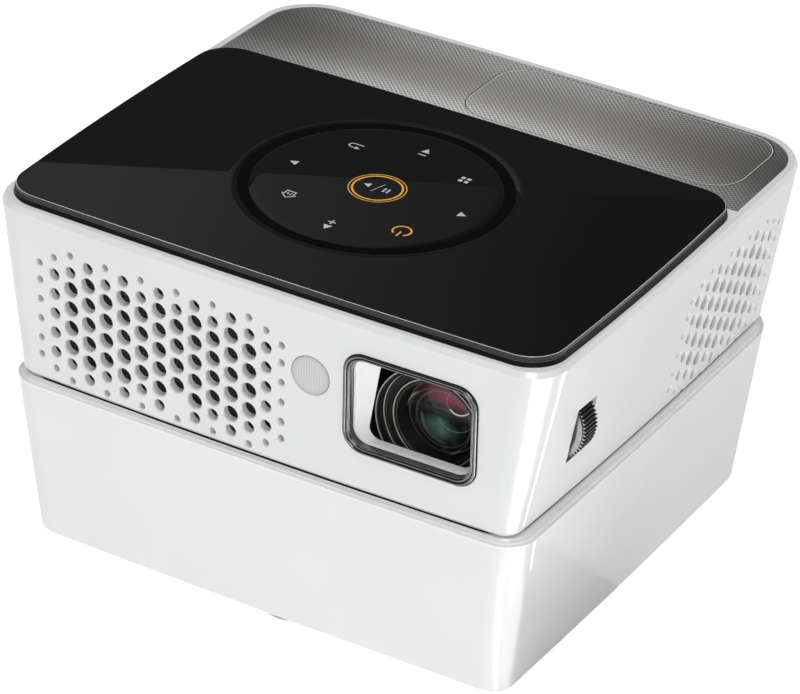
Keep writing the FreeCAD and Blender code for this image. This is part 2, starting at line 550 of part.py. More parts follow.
# ---- lift-off cover of the dock bay, with four tongues that locate it 0.3 clear of the bay's walls
fl = prism(rrect(FLAP[0], FLAP[1], FLAP[2], FLAP[3], FLAP_R, 85.9), (0, 0, 1.7))
fl = fuse([fl] + [box(x0, x0 + 6.0, y0, y0 + 1.0, 82.9, 86.0) for x0 in (4.0, 32.0) for y0 in (38.0, 54.3)])
put("dock_cover", fl)

# ---- dock bay below the cover
BAY = (-5.8, 47.0, 36.5, 57.0, 69.0, 84.9)
bay = box(*BAY).cut(box(BAY[0] + 1.2, BAY[1] - 1.2, BAY[2] + 1.2, 55.6, BAY[4] + 1.2, BAY[5] + 5))
flange = prism(rrect(-10.5, 64.0, 30.0, 60.4, 9.0, 84.9), (0, 0, 1.1))
flange = flange.cut(prism(rrect(FLAP[0] - 0.3, FLAP[1] + 0.3, FLAP[2] - 0.3, FLAP[3] + 0.3, FLAP_R + 0.3, 85.7), (0, 0, 2)))
flange = flange.cut(box(BAY[0] + 1.2, BAY[1] - 1.2, BAY[2] + 1.2, 55.6, 80, 90))
put("dock_bay", fuse([bay, flange]))
pl = fuse([box(-4.6, 4.0, 40.5, 53.0, 70.2, 76.5), box(4.0, 13.0, 42.2, 51.3, 71.6, 75.6)])
pl = pl.cut(box(5.0, 14.0, 43.0, 50.5, 73.9, 75.0))
put("dock_plug", pl)

# ---- lens bezel and white recess
bz = fuse([prism(rrect_xz(BZ_W, BZ_H, 4.9, -0.55), (0, 0.5, 0)), prism(rrect_xz(BZ_W - 2.0, BZ_H - 2.0, 4.1, -0.1), (0, 2.3, 0))])
bz = bz.cut(loft([rrect_xz(BZ_OW + 1.0, BZ_OH + 1.0, 4.2, -0.6), rrect_xz(BZ_OW, BZ_OH, 3.8, 0.4)]))
bz = bz.cut(prism(rrect_xz(BZ_OW, BZ_OH, 3.8, -2), (0, 8, 0)))
put("lens_bezel", to_face(bz, BZ_X, BZ_Y, BZ_Z, yaw, slope))
rec = prism(rrect_xz(BZ_OW + 3.0, BZ_OH + 3.0, 5.0, 2.35), (0, 2.05, 0))
fw = rpoly([(-14.3, -10.55), (14.3, -10.55), (14.3, 10.55), (-14.3, 10.55)], 3.7, 2.3)
rw = rpoly([(-12.4, -10.6), (12.7, -10.6), (12.7, 8.8), (-9.2, 8.8)], 2.6, 4.5)
rec = rec.cut(loft([fw, rw]))
put("lens_recess", to_face(rec, BZ_X, BZ_Y, BZ_Z, yaw, slope))

# ---- lens tube (fixed), focus ring, focus barrel, elements
TY = -53.6
tube = revolve_y([(13.0, 0.0), (13.75, 0.0), (13.75, 2.6), (11.6, 2.6), (11.6, 26.6), (13.7, 26.6), (13.7, 28.6),
                  (8.4, 28.6), (8.4, 26.0), (10.7, 26.0), (10.7, 1.7), (12.65, 1.7), (12.65, 0.7), (13.0, 0.7)], LENS_X, TY, LENS_Z)
put("lens_tube", tube)
dist = math.hypot(WHEEL_X - LENS_X, WHEEL_Z - LENS_Z)
GM = 2 * dist / (N_WHEEL + N_RING)
th = math.degrees(math.atan2(LENS_Z - WHEEL_Z, LENS_X - WHEEL_X))
GY0, GY1 = -39.8, -36.9
fr = gear_y(N_RING, GM, LENS_X, LENS_Z, GY0, GY1, th + 180 + 180.0 / N_RING)
fr = fuse([fr, cyl(12.15, LENS_X, GY1 - 0.2, LENS_Z, 4.2, (0, 1, 0))]).cut(cyl(11.66, LENS_X, -50, LENS_Z, 30, (0, 1, 0)))
put("focus_ring", fr)
fb = revolve_y([(7.9, 0.0), (10.35, 0.0), (10.35, 1.6), (10.64, 1.6), (10.64, 18.6), (8.6, 18.6), (8.6, 6.0), (9.0, 6.0), (9.0, 1.3), (7.9, 0.9)],
               LENS_X, TY + 1.6, LENS_Z)
put("focus_barrel", fb)


def lens(r, t, s1, s2, x, y, z):
    """biconvex element: radius r, edge thickness t, bulges s1 (front) and s2 (rear)"""
    def arcp(s, y0, sg):
        return [(r * k / 8.0, y0 + sg * s * (1 - (k / 8.0) ** 2)) for k in range(0, 9)]
    front = arcp(s1, 0.0, -1)
    back = arcp(s2, t, 1)
    return revolve_y(front + back[::-1], x, y, z)


put("lens_front", lens(9.0, 1.6, 1.3, 0.6, LENS_X, TY + 1.6 + 3.8, LENS_Z))
put("lens_rear", lens(8.0, 1.6, 0.9, 0.9, LENS_X, TY + 28.8, LENS_Z).cut(cyl(20, LENS_X, TY + 31.4, LENS_Z, 20, (0, 1, 0))))

# ---- focus wheel: knurled disc and pinion, on a stub shaft
wy0, wy1 = -42.6, -36.9
wh = cyl(WHEEL_R - 0.75, WHEEL_X, wy0, WHEEL_Z, wy1 - wy0, (0, 1, 0))
wh = fuse([wh, gear_y(N_WHEEL, GM, WHEEL_X, WHEEL_Z, wy0 + 0.4, wy1 - 0.05, th)]).cut(cyl(1.56, WHEEL_X, -50, WHEEL_Z, 30, (0, 1, 0)))
wh = wh.cut(revolve_y([(2.6, -1), (7.4, -1), (7.0, 0.8), (3.0, 0.8)], WHEEL_X, wy0, WHEEL_Z))
put("focus_wheel", wh)
br = fuse([cyl(1.5, WHEEL_X, -42.9, WHEEL_Z, 9.0, (0, 1, 0)), box(WHEEL_X - 3.2, WHEEL_X + 2.2, -35.6, -33.8, 48.0, 68.0),
           cyl(2.4, WHEEL_X, -36.6, WHEEL_Z, 1.6, (0, 1, 0)), box(WHEEL_X - 5.2, WHEEL_X + 1.2, -35.6, -29.0, 48.0, 49.4)])
put("wheel_bracket", br)

# ---- receiver window
put("ir_window", to_face(cyl(IR_R, 0, -0.05, 0, 2.6, (0, 1, 0)), IR_X, IR_Y, IR_Z, yawi, slope))

# ---- light engine and cooling
le = fuse([box(23.0, 54.0, TY + 28.6, TY + 30.4, 49.0, 81.5), box(25.0, 52.0, TY + 30.4, -1.0, 49.0, 80.0), box(27.0, 47.0, -1.0, 5.0, 52.0, 76.0)])
le = le.cut(cyl(8.1, LENS_X, TY + 27, LENS_Z, 6.0, (0, 1, 0)))
le = le.cut(Part.makeCompound([box(24.0, 53.0, TY + 33.0 + i * 4.0, TY + 34.4 + i * 4.0, 79.0, 82.0) for i in range(5)]))
put("light_engine", le)
hs = [box(25.0, 46.5, 9.0, 11.0, 49.0, 82.0)]
hs += [box(25.0 + i * 2.6, 26.0 + i * 2.6, 11.0, 34.0, 49.0, 82.0) for i in range(9)]
hs = fuse(hs)
put("heat_sink", hs)
put("led_module", fuse([box(29.0, 45.0, 5.0, 9.0, 55.0, 73.0), box(33, 41, 4.0, 5.0, 60, 68)]).cut(box(33, 41, 3, 5.0, 60, 68)))
fx0, fy0, fz0 = FAN_C
ff_ = box(49.6, 59.4, fy0 - 17.0, fy0 + 17.0, fz0 - 17.0, fz0 + 17.0)
ff_ = ff_.cut(cyl(16.2, 48, fy0, fz0, 14, (1, 0, 0)))
ff_ = ff_.cut(Part.makeCompound([cyl(1.6, 48, fy0 + a * 14.2, fz0 + b * 14.2, 14, (1, 0, 0)) for a in (-1, 1) for b in (-1, 1)]))
arms = [box(49.6, 50.8, -0.9, 0.9, 7.0, 16.6).rotated(V(0, 0, 0), V(1, 0, 0), k * 90 + 45).translated(V(0, fy0, fz0)) for k in range(4)]
ff_ = fuse([ff_, cyl(8.6, 49.6, fy0, fz0, 1.2, (1, 0, 0)), cyl(1.5, 50.8, fy0, fz0, 6.0, (1, 0, 0))] + arms)
put("fan_frame", ff_)
hubf = cyl(8.6, 51.3, fy0, fz0, 7.4, (1, 0, 0)).cut(cyl(1.55, 50, fy0, fz0, 7.2, (1, 0, 0)))
hubf = hubf.cut(cyl(7.4, 51.0, fy0, fz0, 2.0, (1, 0, 0)))
bl = []
for k in range(7):
    b = box(-3.2, 3.2, -0.45, 0.45, 8.0, 15.6)
    b = b.rotated(V(0, 0, 0), V(0, 0, 1), 32)
    b = b.translated(V(55.2, 0, 0)).rotated(V(0, 0, 0), V(1, 0, 0), k * 360.0 / 7)
    bl.append(b.translated(V(0, fy0, fz0)))
put("fan_rotor", fuse([hubf] + bl))

# ---- main board, speaker, dust filter
mb = box(-57.0, 17.0, -30.0, 54.0, 50.0, 51.6).cut(Part.makeCompound([cyl(3.6, -52.0, 51.0, 49, 4)]))
mb = fuse([mb, box(-40, -22, -10, 8, 51.6, 53.4), box(-12, 2, -20, -8, 51.6, 53.0), box(-14, 6, 6, 20, 51.6, 54.6), box(-50, -42, -26, -12, 51.6, 55.0),
           box(-46, -36, 18, 30, 51.6, 56.0)])
mb = fuse([mb] + [box(x, x + 4, y, y + 4, 47.9, 50.0) for x, y in ((-56, -29), (12, -29), (-56, 40), (12, 49))])
put("main_board", mb)
spk = box(-48.6, -19.6, -53.5, -37.0, 48.5, 82.0)
spk = spk.cut(revolve_y([(0, -2), (14.0, -2), (14.0, 1.7), (5.0, 5.8), (0, 5.8)], -34.1, -53.5, 65.0))
put("speaker_box", spk)
cone = revolve_y([(0, 3.6), (4.2, 4.9), (12.6, 1.2), (13.9, 1.2), (13.9, 0.9), (12.4, 0.9), (4.4, 4.4), (0, 2.4)], -34.1, -53.5, 65.0)
put("speaker_cone", cone)
put("dust_filter", box(-58.0, 8.5, -57.4, -55.2, 48.6, 80.0))

# ---- rear ports
RPY = CASE_YR - CASE_TR * (Z_CASE_EDGE - 58.5) - CASE_SAG * (36.0 / 70) ** 2
rp = prism(rrect_xz(RP[1] - RP[0] - 0.2, RP[3] - RP[2] - 0.2, 2.4, RPY - 3.0, (RP[0] + RP[1]) / 2, (RP[2] + RP[3]) / 2), (0, 2.2, 0))
PZ = 58.5
port_cuts = [cyl(4.0, -44.0, RPY - 5, PZ, 8, (0, 1, 0)), box(-33.0, -17.0, RPY - 5, RPY + 2, PZ - 3.2, PZ + 3.2),
             box(-9.5, 5.5, RPY - 5, RPY + 2, PZ - 3.6, PZ + 3.6), cyl(3.2, 14.5, RPY - 5, PZ, 8, (0, 1, 0))]
put("port_plate", rp.cut(Part.makeCompound(port_cuts)))
dcj = fuse([box(-49.0, -39.0, RPY - 15.0, RPY - 3.0, 51.6, 64.0), cyl(3.9, -44.0, RPY - 3.0, PZ, 2.2, (0, 1, 0))])
dcj = dcj.cut(cyl(2.85, -44.0, RPY - 12.0, PZ, 12, (0, 1, 0)))
put("dc_inlet", fuse([dcj, cyl(0.85, -44.0, RPY - 12.2, PZ, 9.7, (0, 1, 0))]))
hd = box(-32.9, -17.1, RPY - 13.0, RPY - 0.9, PZ - 3.1, PZ + 3.1)
hd = hd.cut(prism(rpoly([(-30.6, PZ - 2.3), (-19.4, PZ - 2.3), (-18.0, PZ + 0.2), (-18.0, PZ + 2.4), (-32.0, PZ + 2.4), (-32.0, PZ + 0.2)], 0.3, RPY - 11.0), (0, 12, 0)))
hd = fuse([hd, box(-31.0, -19.0, RPY - 11.2, RPY - 3.0, PZ + 0.1, PZ + 1.0)])
put("hdmi_port", hd)
us = box(-9.4, 5.4, RPY - 15.0, RPY - 0.9, PZ - 3.5, PZ + 3.5).cut(box(-8.6, 4.6, RPY - 13.5, RPY + 1, PZ - 2.8, PZ + 2.8))
us = fuse([us, box(-7.6, 3.6, RPY - 13.7, RPY - 3.0, PZ + 0.4, PZ + 2.0)])
put("usb_port", us)
aj = fuse([box(10.6, 18.4, RPY - 14.0, RPY - 3.0, 53.4, 62.6), cyl(3.1, 14.5, RPY - 3.0, PZ, 2.2, (0, 1, 0))]).cut(cyl(1.8, 14.5, RPY - 13.0, PZ, 14, (0, 1, 0)))
put("audio_jack", aj)

# ---------------------------------------------------------------- write
for name, s in PARTS.items():
    sol = s.Solids
    bad = [i for i, q in enumerate(sol) if not q.isValid() or q.Volume <= 0]
    print("%-16s solids %d vol %.0f %s" % (name, len(sol), s.Volume, ("BAD %s" % bad) if bad else ""))
    s.exportStep("parts/%s.step" % name)
print(len(PARTS), "nodes")
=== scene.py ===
import bpy, bmesh, math
from mathutils import Vector, Matrix


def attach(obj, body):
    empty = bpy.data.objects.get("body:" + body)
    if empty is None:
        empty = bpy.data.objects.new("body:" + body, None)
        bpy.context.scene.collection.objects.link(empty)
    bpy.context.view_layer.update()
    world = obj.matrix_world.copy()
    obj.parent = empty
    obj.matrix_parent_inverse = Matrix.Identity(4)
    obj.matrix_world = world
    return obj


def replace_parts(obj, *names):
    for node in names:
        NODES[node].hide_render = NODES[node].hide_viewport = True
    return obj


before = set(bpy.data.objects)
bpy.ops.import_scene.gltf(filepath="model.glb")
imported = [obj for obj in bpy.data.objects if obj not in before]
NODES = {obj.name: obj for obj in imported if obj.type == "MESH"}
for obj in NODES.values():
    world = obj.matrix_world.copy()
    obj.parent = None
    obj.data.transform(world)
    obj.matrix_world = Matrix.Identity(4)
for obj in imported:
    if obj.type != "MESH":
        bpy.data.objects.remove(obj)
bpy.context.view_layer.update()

MM = 0.001


# ------------------------------------------------------------------ materials
class Mat:
    """A node material with a principled shader; object coordinates are the row's own frame, in metres."""

    def __init__(self, name):
        self.m = bpy.data.materials.new(name)
        self.m.use_nodes = True
        self.t = self.m.node_tree
        self.b = self.t.nodes["Principled BSDF"]
        self.tc = self.t.nodes.new("ShaderNodeTexCoord")

    def n(self, kind, **kw):
        x = self.t.nodes.new(kind)
        for k, v in kw.items():
            setattr(x, k, v)
        return x

    def l(self, a, b):
        self.t.links.new(a, b)

    def obj(self):
        return self.tc.outputs["Object"]

    def sep(self):
        s = self.n("ShaderNodeSeparateXYZ")
        self.l(self.obj(), s.inputs[0])
        return s.outputs

    def math(self, op, a, b=None, c=None, clamp=False):
        x = self.n("ShaderNodeMath", operation=op, use_clamp=clamp)
        for i, v in enumerate((a, b, c)):
            if v is None:
                continue
            if isinstance(v, (int, float)):
                x.inputs[i].default_value = v
            else:
                self.l(v, x.inputs[i])
        return x.outputs[0]

    def noise(self, scale, detail=2.0, rough=0.5, vec=None, dist=0.0):
        x = self.n("ShaderNodeTexNoise")
        x.inputs["Scale"].default_value = scale
        x.inputs["Detail"].default_value = detail
        x.inputs["Roughness"].default_value = rough
        x.inputs["Distortion"].default_value = dist
        self.l(vec or self.obj(), x.inputs["Vector"])
        return x.outputs["Fac"]

    def map(self, v, a, b, c, d, smooth=False):
        x = self.n("ShaderNodeMapRange", interpolation_type="SMOOTHSTEP" if smooth else "LINEAR")
        x.clamp = True
        self.l(v, x.inputs["Value"])
        for k, q in zip(("From Min", "From Max", "To Min", "To Max"), (a, b, c, d)):
            x.inputs[k].default_value = q
        return x.outputs["Result"]

    def ramp(self, v, stops):
        x = self.n("ShaderNodeValToRGB")
        e = x.color_ramp.elements
        while len(e) < len(stops):
            e.new(0.5)
        for i, (p, c) in enumerate(stops):
            e[i].position = p
            e[i].color = (*c, 1) if len(c) == 3 else c
        self.l(v, x.inputs[0])
        return x.outputs["Color"]

    def mix(self, f, a, b, kind="MIX"):
        x = self.n("ShaderNodeMix", data_type="RGBA", blend_type=kind)
        if isinstance(f, (int, float)):
            x.inputs[0].default_value = f
        else:
            self.l(f, x.inputs[0])
        for i, v in ((6, a), (7, b)):
            if isinstance(v, tuple):
                x.inputs[i].default_value = (*v, 1)
            else:
                self.l(v, x.inputs[i])
        return x.outputs[2]

    def bump(self, h, dist, strength=1.0, prev=None):
        x = self.n("ShaderNodeBump")
        x.inputs["Strength"].default_value = strength
        x.inputs["Distance"].default_value = dist
        self.l(h, x.inputs["Height"])
        if prev is not None:
            self.l(prev, x.inputs["Normal"])
        return x.outputs["Normal"]

    def color(self, v):
        self.l(v, self.b.inputs["Base Color"])

    def rough(self, v):
        self.l(v, self.b.inputs["Roughness"])

    def normal(self, v):
        self.l(v, self.b.inputs["Normal"])

    def set(self, **kw):
        names = {"metal": "Metallic", "coat": "Coat Weight", "coat_rough": "Coat Roughness", "ior": "IOR", "spec": "Specular IOR Level",
                 "aniso": "Anisotropic", "sheen": "Sheen Weight", "trans": "Transmission Weight", "sss": "Subsurface Weight", "coat_ior": "Coat IOR",
                 "emit": "Emission Strength"}
        for k, v in kw.items():
            self.b.inputs[names[k]].default_value = v
        return self


def moulded(name, lo, hi, rough=(0.3, 0.36), grain=1400.0, depth=2e-6, tone=60.0, coat=0.0, coat_rough=0.08, **kw):
    """Moulded plastic or paint: slow tone change, fine grain in the relief and in the gloss."""
    m = Mat(name)
    m.color(m.ramp(m.noise(tone, 3.0, 0.55), [(0.3, lo), (0.7, hi)]))
    g = m.noise(grain, 3.0, 0.6)
    m.rough(m.map(m.noise(grain * 0.35, 2.0), 0.3, 0.7, rough[0], rough[1]))
    m.normal(m.bump(g, depth))
    m.set(coat=coat, coat_rough=coat_rough, **kw)
    return m.m


def metal(name, lo, hi, rough=(0.18, 0.3), stretch=(1, 1, 1), scale=900.0, depth=1.5e-6, **kw):
    """Metal with a drawn or ground grain along one axis."""
    m = Mat(name)
    mp = m.n("ShaderNodeMapping")
    mp.inputs["Scale"].default_value = stretch
    m.l(m.obj(), mp.inputs["Vector"])
    v = mp.outputs[0]
    g = m.noise(scale, 4.0, 0.6, v)
    m.color(m.ramp(g, [(0.25, lo), (0.75, hi)]))
    m.rough(m.map(g, 0.3, 0.7, rough[0], rough[1]))
    m.normal(m.bump(g, depth))
    m.set(metal=1.0, **kw)
    return m.m


WHITE = moulded("white_gloss_case", (0.765, 0.77, 0.775), (0.80, 0.805, 0.81), (0.30, 0.38), 1100, 1.2e-6, 45, 0.55, 0.06, spec=0.45)
WHITE_B = moulded("white_gloss_base", (0.80, 0.803, 0.807), (0.83, 0.833, 0.836), (0.30, 0.38), 1100, 1.2e-6, 45, 0.55, 0.06, spec=0.45)
# painted light: a lighter copy of the base white for the lip, so it reads as a bright band catching the light
WHITE_LIP_LIT = moulded("white_gloss_lip_lit_copy", (0.86, 0.863, 0.867), (0.89, 0.893, 0.896), (0.30, 0.38), 1100, 1.2e-6, 45, 0.55, 0.06, spec=0.45)
HOOD = moulded("white_satin_hood", (0.90, 0.90, 0.895), (0.93, 0.93, 0.925), (0.5, 0.6), 2600, 4e-6, 80)
SATIN = moulded("black_satin_edge", (0.003, 0.003, 0.003), (0.005, 0.005, 0.005), (0.30, 0.38), 1800, 2e-6, 60, 0.0, 0.1, spec=0.12)
BLACKP = moulded("black_grained_plastic", (0.012, 0.012, 0.013), (0.022, 0.022, 0.023), (0.42, 0.55), 3200, 1.2e-5, 70)
GREYP = moulded("grey_moulded_plastic", (0.13, 0.13, 0.135), (0.17, 0.17, 0.175), (0.45, 0.55), 2600, 8e-6, 70)
LIGHTP = moulded("light_grey_plastic", (0.42, 0.42, 0.43), (0.50, 0.50, 0.51), (0.4, 0.5), 2600, 6e-6, 70)
RUBBER = moulded("rubber_foot_grey", (0.16, 0.16, 0.165), (0.22, 0.22, 0.225), (0.6, 0.75), 2200, 1.5e-5, 90)
RUBBERB = moulded("rubber_black", (0.015, 0.015, 0.015), (0.03, 0.03, 0.03), (0.6, 0.75), 2200, 1.5e-5, 90)
STEEL = metal("ground_steel", (0.52, 0.52, 0.53), (0.70, 0.70, 0.71), (0.2, 0.34), (1, 1, 6), 1100)
NICKEL = metal("nickel_plate", (0.62, 0.61, 0.59), (0.76, 0.75, 0.73), (0.16, 0.26), (1, 1, 1), 1500, 1e-6)
ALU = metal("anodised_aluminium", (0.48, 0.49, 0.50), (0.66, 0.67, 0.68), (0.3, 0.42), (1, 6, 1), 1400, 2e-6)
GOLD = metal("gold_contacts", (0.72, 0.50, 0.20), (0.86, 0.64, 0.30), (0.18, 0.28), (1, 1, 1), 1500, 1e-6)
BRASS = metal("turned_brass", (0.58, 0.42, 0.18), (0.74, 0.56, 0.28), (0.2, 0.32), (1, 1, 8), 1100)


def pcb():
    m = Mat("green_circuit_board")
    v = m.n("ShaderNodeTexBrick")
    v.inputs["Scale"].default_value = 260
    v.inputs["Mortar Size"].default_value = 0.12
    v.inputs["Color1"].default_value = (0.010, 0.095, 0.045, 1)
    v.inputs["Color2"].default_value = (0.014, 0.120, 0.055, 1)
    v.inputs["Mortar"].default_value = (0.030, 0.200, 0.085, 1)
    m.l(m.obj(), v.inputs["Vector"])
    d = m.n("ShaderNodeTexVoronoi", feature="F1")
    d.inputs["Scale"].default_value = 420
    m.l(m.obj(), d.inputs["Vector"])
    pads = m.map(d.outputs["Distance"], 0.10, 0.16, 1.0, 0.0)
    m.color(m.mix(pads, v.outputs["Color"], (0.62, 0.47, 0.22)))
    m.rough(m.map(pads, 0, 1, 0.42, 0.25))
    m.normal(m.bump(v.outputs["Fac"], 1.5e-5))
    return m.m


PCB = pcb()


def deck():
    """Printed halftone of round dots on a satin silver ground, with painted light on the ground: lighter beside the
    glass, darker at the ends and towards the rear.
    """
    m = Mat("deck_halftone")
    x, y, z = m.sep()
    d = 0.884 * MM
    k = 1 / (math.sqrt(2) * d)
    u = m.math("MULTIPLY", m.math("ADD", x, y), k)
    v = m.math("MULTIPLY", m.math("SUBTRACT", x, y), k)
    fu = m.math("SUBTRACT", m.math("FRACT", u), 0.5)
    fv = m.math("SUBTRACT", m.math("FRACT", v), 0.5)
    r = m.math("SQRT", m.math("ADD", m.math("MULTIPLY", fu, fu), m.math("MULTIPLY", fv, fv)))
    mid = m.math("ABSOLUTE", m.math("SUBTRACT", y, 45.5 * MM))
    size = m.map(mid, 1.5 * MM, 17.0 * MM, 0.56, 0.34, True)
    e = m.math("SUBTRACT", r, size)
    f = m.map(e, -0.07, 0.07, 0.0, 1.0, True)
    # painted light: ground tone lighter beside the glass and towards the front, darker at the ends and the rear
    ny = m.map(y, 27 * MM, 62 * MM, 1.0, 0.0)
    nx = m.ramp(m.map(x, -70 * MM, 70 * MM, 0, 1), [(0.0, (0.30,) * 3), (0.10, (0.46,) * 3), (0.26, (0.84,) * 3), (0.45, (1.0,) * 3), (0.62, (0.95,) * 3), (0.80, (0.62,) * 3), (0.90, (0.46,) * 3), (1.0, (0.27,) * 3)])
    tone = m.math("MULTIPLY", m.map(m.noise(14, 2), 0.3, 0.7, 0.94, 1.05), nx)
    tone = m.math("MULTIPLY", tone, m.map(ny, 0, 1, 0.69, 1.22))
    dark = m.mix(1.0, (0.43, 0.418, 0.40), tone, "MULTIPLY")
    light = m.mix(1.0, (1.0, 0.985, 0.965), tone, "MULTIPLY")
    m.color(m.mix(f, dark, light))
    m.rough(m.map(f, 0, 1, 0.36, 0.44))
    m.normal(m.bump(f, 6e-6))
    m.set(metal=0.35, coat=0.35, coat_rough=0.18)
    return m.m


DECK = deck()


def glass():
    m = Mat("piano_black_glass")
    m.color(m.ramp(m.noise(30, 2), [(0.3, (0.0030, 0.0030, 0.0032)), (0.7, (0.0042, 0.0042, 0.0044))]))
    m.rough(m.map(m.noise(700, 3, 0.7), 0.35, 0.75, 0.004, 0.010))
    m.normal(m.bump(m.noise(600, 1.0), 2e-8))
    m.set(ior=1.5)
    return m.m


GLASS = glass()
RINGB = moulded("ring_groove_black", (0.0012, 0.0012, 0.0012), (0.002, 0.002, 0.002), (0.5, 0.6), 2600, 4e-6, 70, spec=0.15)
PRINT = moulded("print_light_grey", (0.56, 0.56, 0.57), (0.64, 0.64, 0.65), (0.4, 0.5), 3000, 1e-6, 200)
ORANGE = moulded("print_amber", (0.90, 0.42, 0.045), (0.95, 0.48, 0.07), (0.4, 0.5), 3000, 1e-6, 200)
# painted highlight: light silver for thin lines standing in for edge highlights on the glass and the dock cover
HIGHLIGHT_LINE = moulded("painted_highlight_silver", (0.60, 0.60, 0.585), (0.68, 0.68, 0.665), (0.3, 0.4), 600, 1e-7, 60, metal=0.15)


def chrome():
    m = Mat("dark_chrome")
    m.color(m.ramp(m.noise(500, 2), [(0.3, (0.155, 0.155, 0.157)), (0.7, (0.20, 0.20, 0.202))]))
    m.rough(m.map(m.noise(1800, 2), 0.3, 0.7, 0.12, 0.20))
    m.normal(m.bump(m.noise(900, 1), 4e-7))
    m.set(metal=1.0)
    return m.m


CHROME = chrome()
GUN = moulded("dark_inner_wall", (0.085, 0.085, 0.085), (0.11, 0.11, 0.11), (0.16, 0.22), 1500, 1e-6, 90, 1.0, 0.05)


def turned(name, base, hi, cx, cz, pitch, rough=(0.28, 0.45), depth=3e-5, **kw):
    """Black turned finish with fine grooves round an axis along Y."""
    m = Mat(name)
    x, y, z = m.sep()
    dx = m.math("SUBTRACT", x, cx * MM)
    dz = m.math("SUBTRACT", z, cz * MM)
    r = m.math("SQRT", m.math("ADD", m.math("MULTIPLY", dx, dx), m.math("MULTIPLY", dz, dz)))
    w = m.math("SINE", m.math("MULTIPLY", m.math("ADD", r, m.math("MULTIPLY", y, 1.0)), 2 * math.pi / (pitch * MM)))
    g = m.noise(1600, 3)
    m.color(m.ramp(g, [(0.3, base), (0.7, hi)]))
    m.rough(m.map(g, 0.3, 0.7, rough[0], rough[1]))
    m.normal(m.bump(w, depth))
    m.set(**kw)
    return m.m


LX, LZ, TY = 37.9, 61.85, -53.6
TUBE = turned("black_turned_tube", (0.010, 0.010, 0.010), (0.020, 0.019, 0.018), LX, LZ, 0.42, depth=4e-5)
# painted highlight: light cream for thin rings standing in for highlights on the barrel's edges
RING_HIGHLIGHT = moulded("ring_edge_painted_highlight", (0.66, 0.63, 0.56), (0.74, 0.71, 0.64), (0.22, 0.32), 700, 1e-7, 60, 0.5, 0.1)


def coated(name, stops, axis_tilt, size, strength, cx=LX, cz=LZ):
    """Coated lens: near black glass with a painted reflection, a bloom whose hue changes from rim to rim, and colour
    darker towards the rim.
    """
    m = Mat(name)
    x, y, z = m.sep()
    dx = m.math("DIVIDE", m.math("SUBTRACT", x, cx * MM), size * MM)
    dz = m.math("DIVIDE", m.math("SUBTRACT", z, cz * MM), size * MM)
    a = m.math("ADD", m.math("MULTIPLY", dx, math.sin(axis_tilt)), m.math("MULTIPLY", dz, math.cos(axis_tilt)))
    a = m.math("ADD", a, m.map(m.noise(120, 2), 0.3, 0.7, -0.06, 0.06))
    # painted reflection: hue ramp across the lens along a tilted axis
    col = m.ramp(m.map(a, -1, 1, 0, 1), stops)
    r = m.math("SQRT", m.math("ADD", m.math("MULTIPLY", dx, dx), m.math("MULTIPLY", dz, dz)))
    edge = m.map(r, 0.62, 0.98, 1.0, 0.12, True)
    m.color(m.mix(1.0, col, edge, "MULTIPLY"))
    m.rough(m.map(m.noise(900, 2), 0.3, 0.7, 0.015, 0.04))
    m.normal(m.bump(m.noise(40, 1), 2e-6))
    m.set(ior=1.62, coat=1.0, coat_rough=0.02)
    return m.m


